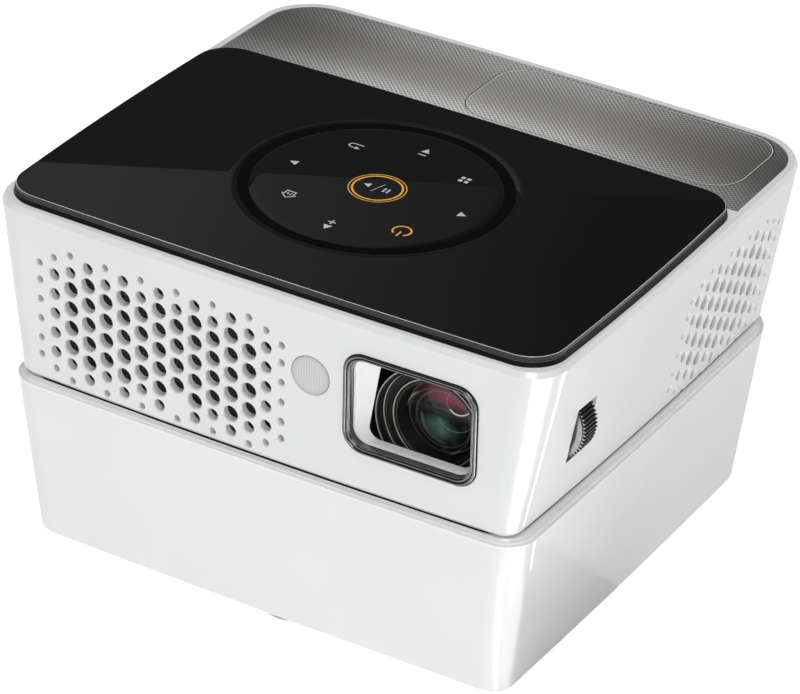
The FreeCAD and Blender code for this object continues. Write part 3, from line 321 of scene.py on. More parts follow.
def front_element():
    """Front element: black glass with painted reflections: a magenta bloom above, a green one below, a blue band, a
    grey haze, light rings and a bright glint painted as highlights, and colour darker towards the rim.
    """
    m = Mat("lens_painted_reflections")
    x, y, z = m.sep()
    u = m.math("DIVIDE", m.math("SUBTRACT", x, LX * MM), MM)
    v = m.math("DIVIDE", m.math("SUBTRACT", z, LZ * MM), MM)
    wob = m.map(m.noise(260, 3), 0.3, 0.7, -0.35, 0.35)

    def dist(cx, cz, rx, rz):
        a = m.math("DIVIDE", m.math("SUBTRACT", u, cx), rx)
        b_ = m.math("DIVIDE", m.math("SUBTRACT", v, cz), rz)
        return m.math("SQRT", m.math("ADD", m.math("MULTIPLY", a, a), m.math("MULTIPLY", b_, b_)))

    def ring(cx, cz, r, w, soft=0.5):
        e = m.math("ABSOLUTE", m.math("SUBTRACT", dist(cx, cz, 1, 1), r))
        return m.map(e, w * soft, w, 1.0, 0.0, True)
    vw = m.math("ADD", v, wob)
    # painted reflections in the coating: a magenta bloom above, a green bloom below, a blue band, a warm ring on the
    # lower left and a grey haze
    magenta_reflection = m.math("MULTIPLY", m.map(vw, 2.3, 5.2, 0.0, 1.0, True), m.map(u, -6.5, 2.0, 0.10, 1.0, True))
    magenta_reflection = m.math("MULTIPLY", magenta_reflection, m.map(u, 5.0, 6.4, 1.0, 0.25, True))
    green_reflection = m.map(m.math("ADD", dist(-0.9, -2.3, 4.7, 3.2), m.math("MULTIPLY", wob, 0.25)), 0.35, 1.15, 1.0, 0.0, True)
    blue = m.math("MULTIPLY", m.map(m.math("ABSOLUTE", m.math("SUBTRACT", v, 1.9)), 0.2, 1.1, 1.0, 0.0, True), m.map(u, -4.5, -1.0, 0.0, 0.8, True))
    warm_ring_reflection = m.math("MULTIPLY", ring(0.4, -0.6, 5.3, 0.55), m.map(m.math("ADD", u, v), -4.2, -6.2, 0.0, 0.75, True))
    c = m.mix(magenta_reflection, (0.014, 0.013, 0.013), (0.30, 0.045, 0.105))
    reflection_haze = m.map(m.noise(420, 4, 0.7), 0.42, 0.75, 0.0, 0.22, True)
    c = m.mix(reflection_haze, c, (0.20, 0.19, 0.18))
    c = m.mix(blue, c, (0.035, 0.042, 0.05))
    gcol = m.mix(m.map(m.noise(300, 3, 0.6), 0.35, 0.7, 0.0, 1.0, True), (0.055, 0.135, 0.11), (0.15, 0.25, 0.215))
    c = m.mix(green_reflection, c, gcol)
    c = m.mix(m.math("MULTIPLY", warm_ring_reflection, 0.55), c, (0.30, 0.28, 0.19))
    # painted highlights: light rings and arcs
    c = m.mix(m.math("MULTIPLY", ring(0.2, -0.4, 6.6, 0.26), 0.5), c, (0.16, 0.155, 0.14))
    c = m.mix(m.math("MULTIPLY", ring(-1.6, -1.9, 7.7, 0.24), m.map(m.math("ADD", u, v), -1.0, -6.0, 0.0, 0.8, True)), c, (0.62, 0.58, 0.50))
    c = m.mix(m.math("MULTIPLY", ring(-0.8, -1.2, 7.5, 0.16), 0.4), c, (0.24, 0.22, 0.20))
    c = m.mix(m.math("MULTIPLY", ring(0.0, 0.0, 8.5, 0.2), 0.5), c, (0.26, 0.24, 0.21))
    c = m.mix(m.math("MULTIPLY", ring(3.9, 4.8, 3.0, 0.16), 0.22), c, (0.5, 0.45, 0.45))
    c = m.mix(m.math("MULTIPLY", ring(3.2, 2.4, 4.6, 0.14), m.map(v, 1.0, -1.4, 0.0, 0.35, True)), c, (0.5, 0.5, 0.45))
    # painted highlight: a bright glint at the upper right
    glint = m.math("MULTIPLY", ring(3.9, 4.8, 2.75, 0.20), m.map(m.math("ADD", v, m.math("MULTIPLY", u, -0.10)), 2.9, 2.5, 0.0, 1.0, True))
    c = m.mix(glint, c, (0.95, 0.92, 0.82))
    # colour darker towards the rim
    rim = m.map(dist(0, 0, 1, 1), 8.2, 9.0, 1.0, 0.3, True)
    m.color(m.mix(1.0, c, rim, "MULTIPLY"))
    m.rough(m.map(m.noise(900, 2), 0.3, 0.7, 0.03, 0.07))
    m.normal(m.bump(m.noise(500, 1), 2e-7))
    m.set(ior=1.5, spec=0.22)
    return m.m


LENS = front_element()
LENS2 = coated("rear_lens_painted_reflection", [(0.0, (0.02, 0.03, 0.05)), (0.5, (0.05, 0.10, 0.16)), (1.0, (0.02, 0.02, 0.03))], 0.4, 8.0, 1.0)


IRX, IRZ = 13.5, 70.8


def receiver():
    """Frosted window with a fine square grid moulded into its middle."""
    m = Mat("frosted_receiver")
    x, y, z = m.sep()
    p = 0.62 * MM

    def cell(v, c):
        f = m.math("ABSOLUTE", m.math("SUBTRACT", m.math("FRACT", m.math("DIVIDE", m.math("SUBTRACT", v, c * MM), p)), 0.5))
        return m.map(f, 0.34, 0.46, 0.0, 1.0, True)
    g = m.math("MAXIMUM", cell(x, IRX), cell(z, IRZ))
    dx = m.math("SUBTRACT", x, IRX * MM)
    dz = m.math("SUBTRACT", z, IRZ * MM)
    r = m.math("SQRT", m.math("ADD", m.math("MULTIPLY", dx, dx), m.math("MULTIPLY", dz, dz)))
    inside = m.map(r, 3.4 * MM, 4.0 * MM, 1.0, 0.0, True)
    g = m.math("MULTIPLY", g, inside)
    edge = m.map(r, 4.15 * MM, 4.4 * MM, 0.0, 1.0, True)
    m.color(m.mix(edge, m.mix(g, (0.56, 0.56, 0.555), (0.82, 0.82, 0.815)), (0.44, 0.44, 0.44)))
    m.rough(m.map(g, 0, 1, 0.34, 0.22))
    m.normal(m.bump(g, 6e-5))
    m.set(coat=0.3, coat_rough=0.1)
    return m.m


IRM = receiver()


def wheel():
    """Black knurled rim with a silver turned face."""
    m = Mat("focus_wheel_finish")
    g = m.n("ShaderNodeNewGeometry")
    s = m.n("ShaderNodeSeparateXYZ")
    m.l(m.tc.outputs["Normal"], s.inputs[0])
    f = m.map(m.math("ABSOLUTE", s.outputs[1]), 0.7, 0.9, 0.0, 1.0)
    n = m.noise(1500, 3)
    m.color(m.mix(f, m.ramp(n, [(0.3, (0.010, 0.010, 0.010)), (0.7, (0.022, 0.022, 0.022))]), m.ramp(n, [(0.3, (0.42, 0.42, 0.43)), (0.7, (0.55, 0.55, 0.56))])))
    m.rough(m.map(f, 0, 1, 0.42, 0.32))
    m.l(f, m.b.inputs["Metallic"])
    m.normal(m.bump(n, 4e-6))
    return m.m


WHEEL = wheel()


def cells():
    m = Mat("cell_wrap_blue")
    m.color(m.ramp(m.noise(60, 3), [(0.3, (0.02, 0.06, 0.20)), (0.7, (0.03, 0.09, 0.27))]))
    m.rough(m.map(m.noise(400, 2), 0.3, 0.7, 0.2, 0.32))
    m.normal(m.bump(m.noise(240, 2, dist=1.0), 3e-5))
    m.set(coat=0.4, coat_rough=0.1)
    return m.m


CELL = cells()


def filter_mesh():
    m = Mat("filter_weave")
    x, y, z = m.sep()
    a = m.math("SINE", m.math("MULTIPLY", m.math("ADD", y, x), 2 * math.pi / (0.8 * MM)))
    b = m.math("SINE", m.math("MULTIPLY", z, 2 * math.pi / (0.8 * MM)))
    h = m.math("MAXIMUM", a, b)
    m.color(m.mix(m.map(h, 0.2, 0.8, 0, 1), (0.008, 0.008, 0.009), (0.06, 0.06, 0.062)))
    m.rough(m.map(h, -1, 1, 0.8, 0.5))
    m.normal(m.bump(h, 8e-5))
    return m.m


FILTER = filter_mesh()
CONE = turned("speaker_cone_paper", (0.015, 0.015, 0.016), (0.035, 0.034, 0.034), -34.1, 65.0, 1.1, (0.6, 0.75), 8e-5)
SPEAK = moulded("speaker_housing", (0.02, 0.02, 0.022), (0.035, 0.035, 0.038), (0.5, 0.6), 2600, 1e-5, 70)

BY_NODE = {
    "case_shell": WHITE, "base_shell": WHITE_B, "base_deck": WHITE_LIP_LIT, "tray_front": WHITE_B, "case_bottom": GREYP,
    "glass_carrier": SATIN, "glass_panel": GLASS, "touch_ring": RINGB, "touch_board": PCB, "rear_deck": DECK, "dock_cover": DECK,
    "dock_bay": BLACKP, "dock_plug": BLACKP, "dock_connector": NICKEL,
    "lens_bezel": CHROME, "lens_recess": HOOD, "lens_tube": TUBE, "focus_ring": BLACKP, "focus_barrel": TUBE, "lens_front": LENS, "lens_rear": LENS2,
    "focus_wheel": WHEEL, "wheel_bracket": STEEL, "ir_window": IRM, "light_engine": GREYP, "heat_sink": ALU, "led_module": NICKEL,
    "fan_frame": BLACKP, "fan_rotor": BLACKP, "speaker_box": SPEAK, "speaker_cone": CONE, "dust_filter": FILTER, "main_board": PCB, "base_board": PCB,
    "port_plate": BLACKP, "dc_inlet": BLACKP, "hdmi_port": NICKEL, "usb_port": NICKEL, "audio_jack": BLACKP,
    "battery_cells": CELL, "battery_holder": BLACKP, "drive_frame": STEEL, "drive_mounts": RUBBERB, "rail_slides": NICKEL, "tray": GREYP,
    "spindle_hub": BLACKP, "spindle_motor": STEEL, "laser_sled": GREYP, "laser_lens": LENS2, "sled_rods": STEEL, "sled_screw": BRASS, "sled_motor": STEEL,
    "eject_button": LIGHTP, "deck_pads": RUBBERB, "base_screws": STEEL, "case_screws": STEEL, "tripod_insert": BRASS, "front_foot": RUBBER, "feet_rear": RUBBERB,
}
for name, o in NODES.items():
    if name not in BY_NODE:
        print("no material chosen for", name)
    o.data.materials.clear()
    o.data.materials.append(BY_NODE.get(name, GREYP))


# ------------------------------------------------------------------ mesh helpers
def make(name, verts, faces, mat, body, smooth=True, angle=35.0, scale=MM):
    me = bpy.data.meshes.new(name)
    me.from_pydata([tuple(c * scale for c in v) for v in verts], [], faces)
    me.validate()
    bm = bmesh.new()
    bm.from_mesh(me)
    bmesh.ops.recalc_face_normals(bm, faces=bm.faces)
    bm.to_mesh(me)
    bm.free()
    if smooth:
        me.shade_smooth()
        me.set_sharp_from_angle(angle=math.radians(angle))
    me.materials.append(mat)
    o = bpy.data.objects.new(name, me)
    bpy.context.scene.collection.objects.link(o)
    if body:
        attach(o, body)
    return o


def flat_shapes(name, polys, z0, z1, mat, body):
    """Thin raised print: each poly is a convex or simple list of (x, y)."""
    verts, faces = [], []
    for p in polys:
        n, b = len(p), len(verts)
        area = sum(p[i][0] * p[(i + 1) % n][1] - p[(i + 1) % n][0] * p[i][1] for i in range(n))
        if area < 0:
            p = p[::-1]
        verts += [(x, y, z1) for x, y in p] + [(x, y, z0) for x, y in p]
        faces.append([b + i for i in range(n)])
        faces.append([b + n + i for i in range(n)][::-1])
        faces += [[b + i, b + n + i, b + n + (i + 1) % n, b + (i + 1) % n] for i in range(n)]
    return make(name, verts, faces, mat, body, smooth=False)


def stroke(pts, w, closed=False):
    """Quads along a line of points, w wide."""
    n = len(pts)
    L, R = [], []
    for i in range(n):
        a = pts[(i - 1) % n] if (closed or i > 0) else pts[i]
        b = pts[(i + 1) % n] if (closed or i < n - 1) else pts[i]
        dx, dy = b[0] - a[0], b[1] - a[1]
        d = math.hypot(dx, dy)
        nx, ny = -dy / d, dx / d
        s = 1.0
        if (closed or 0 < i < n - 1):
            e = (pts[i][0] - a[0], pts[i][1] - a[1])
            le = math.hypot(*e)
            c = abs((e[0] * dx + e[1] * dy) / (le * d))
            s = 1.0 / max(c, 0.5)
        L.append((pts[i][0] + nx * w * s / 2, pts[i][1] + ny * w * s / 2))
        R.append((pts[i][0] - nx * w * s / 2, pts[i][1] - ny * w * s / 2))
    out = []
    for i in range(n if closed else n - 1):
        j = (i + 1) % n
        out.append([L[i], R[i], R[j], L[j]])
    return out


def arc(cx, cy, r, a0, a1, n):
    return [(cx + r * math.cos(math.radians(a0 + (a1 - a0) * i / n)), cy + r * math.sin(math.radians(a0 + (a1 - a0) * i / n))) for i in range(n + 1)]


def bowed(a, yf, yr, rf, rr, sag, ns=22, nc=14):
    """Closed outline of four bowed sides and four tangent corner arcs, counter-clockwise from the front left."""
    yc, h = (yf + yr) / 2, (yr - yf) / 2
    r1 = (a * a + sag * sag) / (2 * sag)
    r2 = (h * h + sag * sag) / (2 * sag)
    cf, cr, cR, cL = (0, yf + r1), (0, yr - r1), (a - r2, yc), (r2 - a, yc)

    def meet(c1, q1, c2, q2, near):
        dx, dy = c2[0] - c1[0], c2[1] - c1[1]
        d = math.hypot(dx, dy)
        t = (q1 * q1 - q2 * q2 + d * d) / (2 * d)
        e = math.sqrt(max(q1 * q1 - t * t, 0))
        mx, my = c1[0] + t * dx / d, c1[1] + t * dy / d
        return min([(mx + e * dy / d, my - e * dx / d), (mx - e * dy / d, my + e * dx / d)], key=lambda q: math.hypot(q[0] - near[0], q[1] - near[1]))

    def tangent(p, c, R):
        dx, dy = p[0] - c[0], p[1] - c[1]
        k = R / math.hypot(dx, dy)
        return (c[0] + dx * k, c[1] + dy * k)

    def span(c, p, q, n):
        a0, a1 = math.atan2(p[1] - c[1], p[0] - c[0]), math.atan2(q[1] - c[1], q[0] - c[0])
        while a1 < a0:
            a1 += 2 * math.pi
        R = math.hypot(p[0] - c[0], p[1] - c[1])
        return [(c[0] + R * math.cos(a0 + (a1 - a0) * i / n), c[1] + R * math.sin(a0 + (a1 - a0) * i / n)) for i in range(n)]
    fr = meet(cf, r1 - rf, cR, r2 - rf, (a - rf, yf + rf))
    br = meet(cR, r2 - rr, cr, r1 - rr, (a - rr, yr - rr))
    bl = meet(cr, r1 - rr, cL, r2 - rr, (rr - a, yr - rr))
    fl = meet(cL, r2 - rf, cf, r1 - rf, (rf - a, yf + rf))
    return (span(cf, tangent(fl, cf, r1), tangent(fr, cf, r1), ns) + span(fr, tangent(fr, cf, r1), tangent(fr, cR, r2), nc)
            + span(cR, tangent(fr, cR, r2), tangent(br, cR, r2), ns) + span(br, tangent(br, cR, r2), tangent(br, cr, r1), nc)
            + span(cr, tangent(br, cr, r1), tangent(bl, cr, r1), ns) + span(bl, tangent(bl, cr, r1), tangent(bl, cL, r2), nc)
            + span(cL, tangent(bl, cL, r2), tangent(fl, cL, r2), ns) + span(fl, tangent(fl, cL, r2), tangent(fl, cf, r1), nc))


def glass_loop(off):
    return [(x, y - 16.9) for x, y in bowed(68.0 - off, -44.4 + off, 44.4 - off, 8.5 - off, 8.5 - off, 1.0, 40, 16)]


def lathe(name, pts, cx, cy, cz, mat, body, n=96, closed=True, axis="Y"):
    """Turned piece about an axis along Y or Z; pts are (radius, along)."""
    verts, faces = [], []
    m = len(pts)
    for i in range(n):
        t = 2 * math.pi * i / n
        for r, a in pts:
            if axis == "Y":
                verts.append((cx + r * math.cos(t), cy + a, cz + r * math.sin(t)))
            else:
                verts.append((cx + r * math.cos(t), cy + r * math.sin(t), cz + a))
    for i in range(n):
        j = (i + 1) % n
        for k in range(m if closed else m - 1):
            q = (k + 1) % m
            faces.append([i * m + k, j * m + k, j * m + q, i * m + q])
    return make(name, verts, faces, mat, body)


def ring_wire(name, R, y, rad, mat, body, n=110, m=8):
    pts = [(R + rad * math.cos(2 * math.pi * k / m), rad * math.sin(2 * math.pi * k / m)) for k in range(m)]
    return lathe(name, pts, LX, y, LZ, mat, body, n)


# ------------------------------------------------------------------ glass top with eased edges and the dished ring
def glass_top():
    RC = (-0.5, -14.0)
    prof = [(0.15, 88.75), (0.15, 89.70)]
    for i in range(1, 6):
        t = math.radians(90 * i / 5)
        prof.append((0.15 + 0.30 * (1 - math.cos(t)), 89.70 + 0.30 * math.sin(t)))
    prof += [(0.7, 90.0), (1.6, 90.0)]
    loops = [[(x, y, z) for x, y in glass_loop(o)] for o, z in prof]
    N = len(loops[0])
    ang = [math.atan2(p[1] - RC[1], p[0] - RC[0]) for p in loops[-1]]

    def circle(R, z):
        return [(RC[0] + R * math.cos(a), RC[1] + R * math.sin(a), z) for a in ang]
    ro, ri = 30.3, 27.8
    loops += [circle(ro + 2.4, 90.0), circle(ro + 1.6, 90.0)]
    for i in range(1, 8):
        f = i / 7
        loops.append(circle(ro + 1.5 * (1 - f), 90.0 - 0.16 * f * f))
    loops += [circle(ro - 0.02, 89.62), circle(ro - 0.02, 89.45), circle(ri + 0.02, 89.45), circle(ri + 0.02, 89.62)]
    for i in range(0, 7):
        f = 1 - i / 7
        loops.append(circle(ri - 1.3 * (1 - f), 90.0 - 0.16 * f * f))
    loops += [circle(ri - 1.4, 90.0), circle(ri - 2.4, 90.0), circle(14.0, 90.0)]
    verts = [v for lp in loops for v in lp]
    faces = []
    for k in range(len(loops) - 1):
        a, b = k * N, (k + 1) * N
        faces += [[a + i, a + (i + 1) % N, b + (i + 1) % N, b + i] for i in range(N)]
    faces.append([(len(loops) - 1) * N + i for i in range(N)])
    faces.append([i for i in range(N)][::-1])
    g = make("glass_top", verts, faces, GLASS, "projector", angle=30)
    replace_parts(g, "glass_panel")
    return g


glass_top()


def loop_band(name, pts, prof, mat, body):
    """Strip swept round a closed outline in XY; prof is a closed list of (outward offset, z)."""
    n, m = len(pts), len(prof)
    verts, faces = [], []
    for i in range(n):
        ax, ay = pts[i - 1]
        bx, by = pts[(i + 1) % n]
        d = math.hypot(bx - ax, by - ay)
        nx, ny = (by - ay) / d, -(bx - ax) / d
        verts += [(pts[i][0] + nx * o, pts[i][1] + ny * o, z) for o, z in prof]
    for i in range(n):
        j = (i + 1) % n
        faces += [[i * m + k, j * m + k, j * m + (k + 1) % m, i * m + (k + 1) % m] for k in range(m)]
    return make(name, verts, faces, mat, body, angle=50)


def bead(r, z, m=8):
    return [(r * math.cos(2 * math.pi * k / m), z + r * math.sin(2 * math.pi * k / m)) for k in range(m)]


# painted highlights: a bright bead along the glass edge and a faint one where glass meets carrier; painted shadow: a
# black band filling the seam between the two modules
loop_band("glass_edge_painted_highlight", glass_loop(0.30), bead(0.10, 89.87), HIGHLIGHT_LINE, "projector")
loop_band("carrier_joint_painted_highlight", glass_loop(0.06), bead(0.07, 88.76), GREYP, "projector")
# painted shadow: black band filling the shaded seam between the two modules
loop_band("module_seam_painted_shadow", bowed(62.70, -61.24, 61.85, 7.8, 13.9, 1.1), [(0.0, 45.44), (0.0, 45.97), (-0.7, 45.97), (-0.7, 45.44)], RINGB, "base")

# ------------------------------------------------------------------ printed icons on the glass
IC = (0.0, -14.6)
ZT0, ZT1 = 89.97, 90.008


def tri(cx, cy, dx, dy, w, h):
    """Triangle with its base centred at (cx, cy) pointing along (dx, dy)."""
    return [(cx - dy * w / 2, cy + dx * w / 2), (cx + dy * w / 2, cy - dx * w / 2), (cx + dx * h, cy + dy * h)]


R_IC = 20.4
flat_shapes("icon_left", [tri(IC[0] - R_IC, IC[1], -1, 0, 2.1, 1.9)], ZT0, ZT1, PRINT, "projector")
flat_shapes("icon_right", [tri(IC[0] + R_IC, IC[1], 1, 0, 2.1, 1.9)], ZT0, ZT1, PRINT, "projector")
flat_shapes("icon_rear_minus", [tri(IC[0], IC[1] + R_IC, 0, 1, 2.1, 1.9)] + stroke([(IC[0] - 0.95, IC[1] + R_IC - 1.25), (IC[0] + 0.95, IC[1] + R_IC - 1.25)], 0.36), ZT0, ZT1, PRINT, "projector")
flat_shapes("icon_front_plus", [tri(IC[0], IC[1] - R_IC, 0, -1, 2.1, 1.9)] + stroke([(IC[0] - 0.95, IC[1] - R_IC + 1.6), (IC[0] + 0.95, IC[1] - R_IC + 1.6)], 0.34)
            + stroke([(IC[0], IC[1] - R_IC + 0.65), (IC[0], IC[1] - R_IC + 1.42)], 0.34) + stroke([(IC[0], IC[1] - R_IC + 1.78), (IC[0], IC[1] - R_IC + 2.55)], 0.34), ZT0, ZT1, PRINT, "projector")


def at(fx, fy):
    return fx, fy - 16.9


# return arrow: a loop that doubles back, head on its near leg
cx, cy = at(-14.1, 16.7)
u_turn = [(cx + 1.7, cy + 0.85)] + arc(cx - 0.75, cy + 0.0, 0.85, 90, 270, 12) + [(cx + 0.35, cy - 0.85)]
flat_shapes("icon_return", stroke(u_turn, 0.30) + [tri(cx + 0.35, cy - 0.85, 1, 0, 1.15, 1.1)], ZT0, ZT1, PRINT, "projector")
# four tiles
cx, cy = at(13.7, 16.6)
tiles = []
for sx in (-1, 1):
    for sy in (-1, 1):
        x0, y0 = cx + sx * 0.72, cy + sy * 0.72
        h, r = 0.46, 0.14
        tiles.append(arc(x0 + h - r, y0 + h - r, r, 0, 90, 3) + arc(x0 - h + r, y0 + h - r, r, 90, 180, 3) + arc(x0 - h + r, y0 - h + r, r, 180, 270, 3) + arc(x0 + h - r, y0 - h + r, r, 270, 360, 3))
flat_shapes("icon_tiles", tiles, ZT0, ZT1, PRINT, "projector")
# home: roof towards the front, as read from behind the projector
cx, cy = at(-14.3, -11.0)
home = stroke([(cx - 1.75, cy - 0.05), (cx, cy - 1.65), (cx + 1.75, cy - 0.05)], 0.28)
home += stroke([(cx - 1.15, cy - 0.25), (cx - 1.15, cy + 1.35), (cx + 1.15, cy + 1.35), (cx + 1.15, cy - 0.25)], 0.28)
home += stroke([(cx - 0.45, cy + 0.75), (cx - 0.45, cy + 0.05), (cx + 0.45, cy + 0.05), (cx + 0.45, cy + 0.75)], 0.24)
flat_shapes("icon_home", home, ZT0, ZT1, PRINT, "projector")
# power, amber
cx, cy = at(14.3, -11.3)
flat_shapes("icon_power", stroke(arc(cx, cy, 2.05, -90 + 34, 270 - 34, 40), 0.42) + stroke([(cx, cy - 2.6), (cx, cy - 0.35)], 0.42), ZT0, ZT1, ORANGE, "projector")
# double ring round the centre key, with a play and pause mark
cx, cy = at(0.0, 2.4)
flat_shapes("ring_outer_line", stroke(arc(cx, cy, 6.38, 0, 360 - 360 / 96, 95), 0.24, True), ZT0, ZT1, ORANGE, "projector")
flat_shapes("ring_inner_line", stroke(arc(cx, cy, 5.55, 0, 360 - 360 / 96, 95), 0.46, True), ZT0, ZT1, ORANGE, "projector")
flat_shapes("icon_play_pause", [tri(cx - 1.9, cy + 0.2, -1, 0, 1.9, 1.6)] + stroke([(cx + 0.6, cy + 2.4), (cx - 0.6, cy - 2.0)], 0.16)
            + stroke([(cx + 1.7, cy + 1.0), (cx + 1.7, cy - 0.9)], 0.42) + stroke([(cx + 2.7, cy + 1.0), (cx + 2.7, cy - 0.9)], 0.42), ZT0, ZT1, PRINT, "projector")

# ------------------------------------------------------------------ painted highlight: fine light line round the dock cover, standing in for the light on its chamfer
FX0, FX1, FY0, FY1, FR = -8.0, 62.0, 32.3, 60.1, 8.0


def rr2(x0, x1, y0, y1, r, n=14):
    return arc(x1 - r, y1 - r, r, 0, 90, n) + arc(x0 + r, y1 - r, r, 90, 180, n) + arc(x0 + r, y0 + r, r, 180, 270, n) + arc(x1 - r, y0 + r, r, 270, 360, n)


flat_shapes("cover_edge_painted_highlight", stroke(rr2(FX0 + 0.14, FX1 - 0.14, FY0 + 0.14, FY1 - 0.14, FR - 0.14), 0.26, True), 87.55, 87.615, HIGHLIGHT_LINE, "dock_cover")

# ------------------------------------------------------------------ lens bezel: swept trim with a soft ridge
SL = math.atan(0.043)
YW = 37.6 / ((69.95 ** 2 + 1.1 ** 2) / (2 * 1.1))


def case_front_y(x, z):
    r = (69.95 ** 2 + 1.1 ** 2) / (2 * 1.1)
    return -63.7 + 0.043 * (86.5 - z) + r - math.sqrt(r * r - x * x)


BM = Matrix.Translation(Vector((37.6, case_front_y(37.6, 67.9), 67.9))) @ Matrix.Rotation(YW, 4, "Z") @ Matrix.Rotation(SL, 4, "X")


def rr_xz(w, h, r, n=12):
    a, b = w / 2, h / 2
    return (arc(a - r, b - r, r, 0, 90, n) + arc(r - a, b - r, r, 90, 180, n) + arc(r - a, r - b, r, 180, 270, n) + arc(a - r, r - b, r, 270, 360, n))


def frame_ring(name, prof, mat):
    """Closed section swept round the lens opening; s runs from the outer outline (0) to the opening (1)."""
    loops = []
    for s, y in prof:
        w, h, r = 32.1 - 3.3 * s, 24.6 - 3.3 * s, 4.9 - 1.1 * s
        loops.append([BM @ Vector((x, y, z)) for x, z in rr_xz(w, h, r)])
    N, M = len(loops[0]), len(loops)
    verts = [tuple(v) for lp in loops for v in lp]
    faces = []
    for k in range(M):
        a, b = k * N, ((k + 1) % M) * N
        faces += [[a + i, a + (i + 1) % N, b + (i + 1) % N, b + i] for i in range(N)]
    return make(name, verts, faces, mat, "projector", angle=50)


def hump(s0, s1, base, top, n=10):
    return [(s0 + (s1 - s0) * (1 - math.cos(math.pi * i / n)) / 2, base + (top - base) * math.sin(math.pi * i / n)) for i in range(n + 1)]


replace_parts(frame_ring("bezel_trim", [(0.10, 0.30)] + hump(0.10, 0.50, -0.16, -0.54) + hump(0.55, 0.93, -0.10, -0.40) + [(0.93, 0.30)], CHROME), "lens_bezel")
frame_ring("bezel_outline", [(0.0, 0.25), (0.0, -0.14), (0.03, -0.20), (0.11, -0.20), (0.11, 0.25)], RINGB)
frame_ring("bezel_inner_wall", [(0.91, 0.30), (0.93, -0.04), (0.97, 0.02), (1.0, 0.16), (1.0, 1.40), (0.92, 1.40)], GUN)
frame_ring("bezel_inner_line", [(0.93, 1.36), (1.03, 1.36), (1.03, 1.50), (0.93, 1.50)], RINGB)
frame_ring("recess_lip", [(0.93, 1.50), (1.0, 1.50), (1.0, 2.34), (0.93, 2.34)], HOOD)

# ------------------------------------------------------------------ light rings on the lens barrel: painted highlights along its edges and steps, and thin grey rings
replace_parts(lathe("barrel_sleeve", [(9.15, 2.6), (9.45, 0.15), (9.6, 0.0), (10.35, 0.0), (10.35, 1.6), (10.64, 1.6), (10.64, 18.6), (8.6, 18.6), (8.6, 6.0), (9.05, 6.0)],
                  LX, TY + 1.6, LZ, TUBE, "focus_barrel"), "focus_barrel")
ring_wire("tube_ring_outer", 13.62, TY - 0.02, 0.15, RING_HIGHLIGHT, "projector")
ring_wire("tube_ring_step", 12.62, TY + 1.62, 0.12, RING_HIGHLIGHT, "projector")
ring_wire("tube_ring_groove", 12.05, TY + 1.68, 0.05, GREYP, "projector")
ring_wire("barrel_ring_front", 10.28, TY + 1.60, 0.13, RING_HIGHLIGHT, "focus_barrel")
ring_wire("barrel_ring_inner", 9.50, TY + 1.62, 0.05, GREYP, "focus_barrel")

# ------------------------------------------------------------------ floor, camera, lights
bpy.ops.mesh.primitive_plane_add(size=14, location=(0, 0, 0))
floor = bpy.context.object
floor.name = "floor"
fm = Mat("pale_floor")
fm.color(fm.ramp(fm.noise(3, 2), [(0.3, (0.50, 0.50, 0.50)), (0.7, (0.52, 0.52, 0.52))]))
fm.rough(fm.map(fm.noise(60, 2), 0.3, 0.7, 0.75, 0.85))
fm.b.inputs["Emission Color"].default_value = (1, 1, 1, 1)
fm.b.inputs["Emission Strength"].default_value = 0.72
floor.data.materials.append(fm.m)

cam = bpy.data.cameras.new("camera")
co = bpy.data.objects.new("camera", cam)
bpy.context.scene.collection.objects.link(co)
r, u, b = Vector((0.85965566, 0.50916796, 0.0417148)), Vector((-0.28574089, 0.41152798, 0.86544605)), Vector((0.42349059, -0.75590523, 0.49926246))
co.matrix_world = Matrix(((r.x, u.x, b.x, 0.419334), (r.y, u.y, b.y, -0.749621), (r.z, u.z, b.z, 0.538200), (0, 0, 0, 1)))
cam.sensor_fit = "HORIZONTAL"
cam.sensor_width = 36.0
cam.lens = 198.64
cam.clip_start, cam.clip_end = 0.05, 50
bpy.context.scene.camera = co


def area(name, loc, look, sx, sy, power, col=(1, 1, 1), glossy=True):
    L = bpy.data.lights.new(name, "AREA")
    L.shape = "RECTANGLE"
    L.size, L.size_y = sx, sy
    L.energy = power
    L.color = col
    o = bpy.data.objects.new(name, L)
    bpy.context.scene.collection.objects.link(o)
    o.location = loc
    o.rotation_mode = "QUATERNION"
    o.rotation_quaternion = (Vector(look) - Vector(loc)).to_track_quat("-Z", "Y")
    o.visible_glossy = glossy
    return o


area("key_front", (1.05, -1.75, 1.10), (0, 0, 0.05), 1.1, 1.0, 20)
area("top", (0, 0.0, 2.4), (0, 0, 0), 2.2, 2.2, 42, glossy=False)


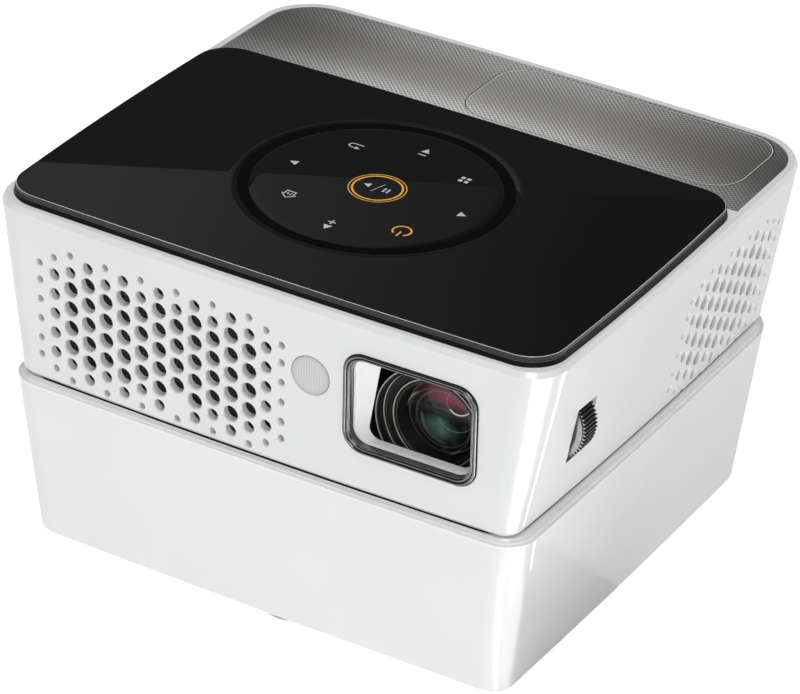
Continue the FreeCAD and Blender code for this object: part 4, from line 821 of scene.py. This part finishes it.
def glow(name, verts, faces, strength, grad=None):
    """Reflector card that only gloss sees: it lights nothing and casts nothing."""
    m = bpy.data.materials.new(name)
    m.use_nodes = True
    t = m.node_tree
    t.nodes.clear()
    e = t.nodes.new("ShaderNodeEmission")
    out = t.nodes.new("ShaderNodeOutputMaterial")
    t.links.new(e.outputs[0], out.inputs[0])
    e.inputs["Strength"].default_value = strength
    if grad:
        tc = t.nodes.new("ShaderNodeTexCoord")
        sp = t.nodes.new("ShaderNodeSeparateXYZ")
        t.links.new(tc.outputs["Object"], sp.inputs[0])
        mr = t.nodes.new("ShaderNodeMapRange")
        axis, a, b_, lo, hi = grad
        t.links.new(sp.outputs[axis], mr.inputs["Value"])
        for k, q in zip(("From Min", "From Max", "To Min", "To Max"), (a, b_, lo, hi)):
            mr.inputs[k].default_value = q
        t.links.new(mr.outputs["Result"], e.inputs["Strength"])
    me = bpy.data.meshes.new(name)
    me.from_pydata(verts, [], faces)
    me.materials.append(m)
    o = bpy.data.objects.new(name, me)
    bpy.context.scene.collection.objects.link(o)
    o.visible_camera = o.visible_diffuse = o.visible_shadow = o.visible_transmission = False
    return o


def fan(name, az0, az1, d0, d1, strength, cx=0.061, cy=-0.055, z=0.0004, n=10):
    vs, fs = [], []
    for i in range(n + 1):
        a = math.radians(az0 + (az1 - az0) * i / n)
        vs += [(cx + d0 * math.cos(a), cy + d0 * math.sin(a), z), (cx + d1 * math.cos(a), cy + d1 * math.sin(a), z)]
    for i in range(n):
        fs.append([2 * i, 2 * i + 1, 2 * i + 3, 2 * i + 2])
    return glow(name, vs, fs, strength)


fan("card_corner_upper", -54, 12, 0.040, 0.125, 5.0)
fan("card_corner_edge", 50, 60, 0.046, 0.125, 6.0)
fan("card_corner_lower", -80, -57, 0.004, 0.040, 6.0)
fan("card_corner_lower_soft", -40, 40, 0.004, 0.040, 2.2)
# grey flag lying to the right of the object: it holds back the floor's bounce from the side faces
for nm, x0, x1, y0, y1, e in (("flag_right_front", 0.045, 0.12, -0.052, 0.0, 0.46), ("flag_right", 0.045, 0.12, 0.0, 0.60, 0.84), ("flag_right_far", 0.12, 0.60, -0.052, 0.60, 1.25)):
    flag = glow(nm, [(x0, y0, 0.0003), (x1, y0, 0.0003), (x1, y1, 0.0003), (x0, y1, 0.0003)], [[0, 1, 2, 3]], e)
    flag.visible_diffuse = True
# tall card behind, whose lower edge makes the split in the glass
glow("card_glass", [(-3.6, 2.5, 2.20), (-1.8263, 2.5, 1.7133), (-1.5213, 2.5, 1.6353), (-1.3018, 2.5, 1.5813), (-1.0943, 2.5, 1.5313), (0.6, 2.5, 1.13), (0.6, 2.5, 4.0), (-3.6, 2.5, 4.0)],
     [[0, 1, 2, 3, 4, 5, 6, 7]], 0.3, (0, -1.75, -1.20, 0.25, 0.055))

w = bpy.data.worlds.new("studio")
bpy.context.scene.world = w
w.use_nodes = True
bg = w.node_tree.nodes["Background"]
bg.inputs["Color"].default_value = (1, 1, 1, 1)
bg.inputs["Strength"].default_value = 0.07
bpy.context.scene.view_settings.view_transform = "Standard"
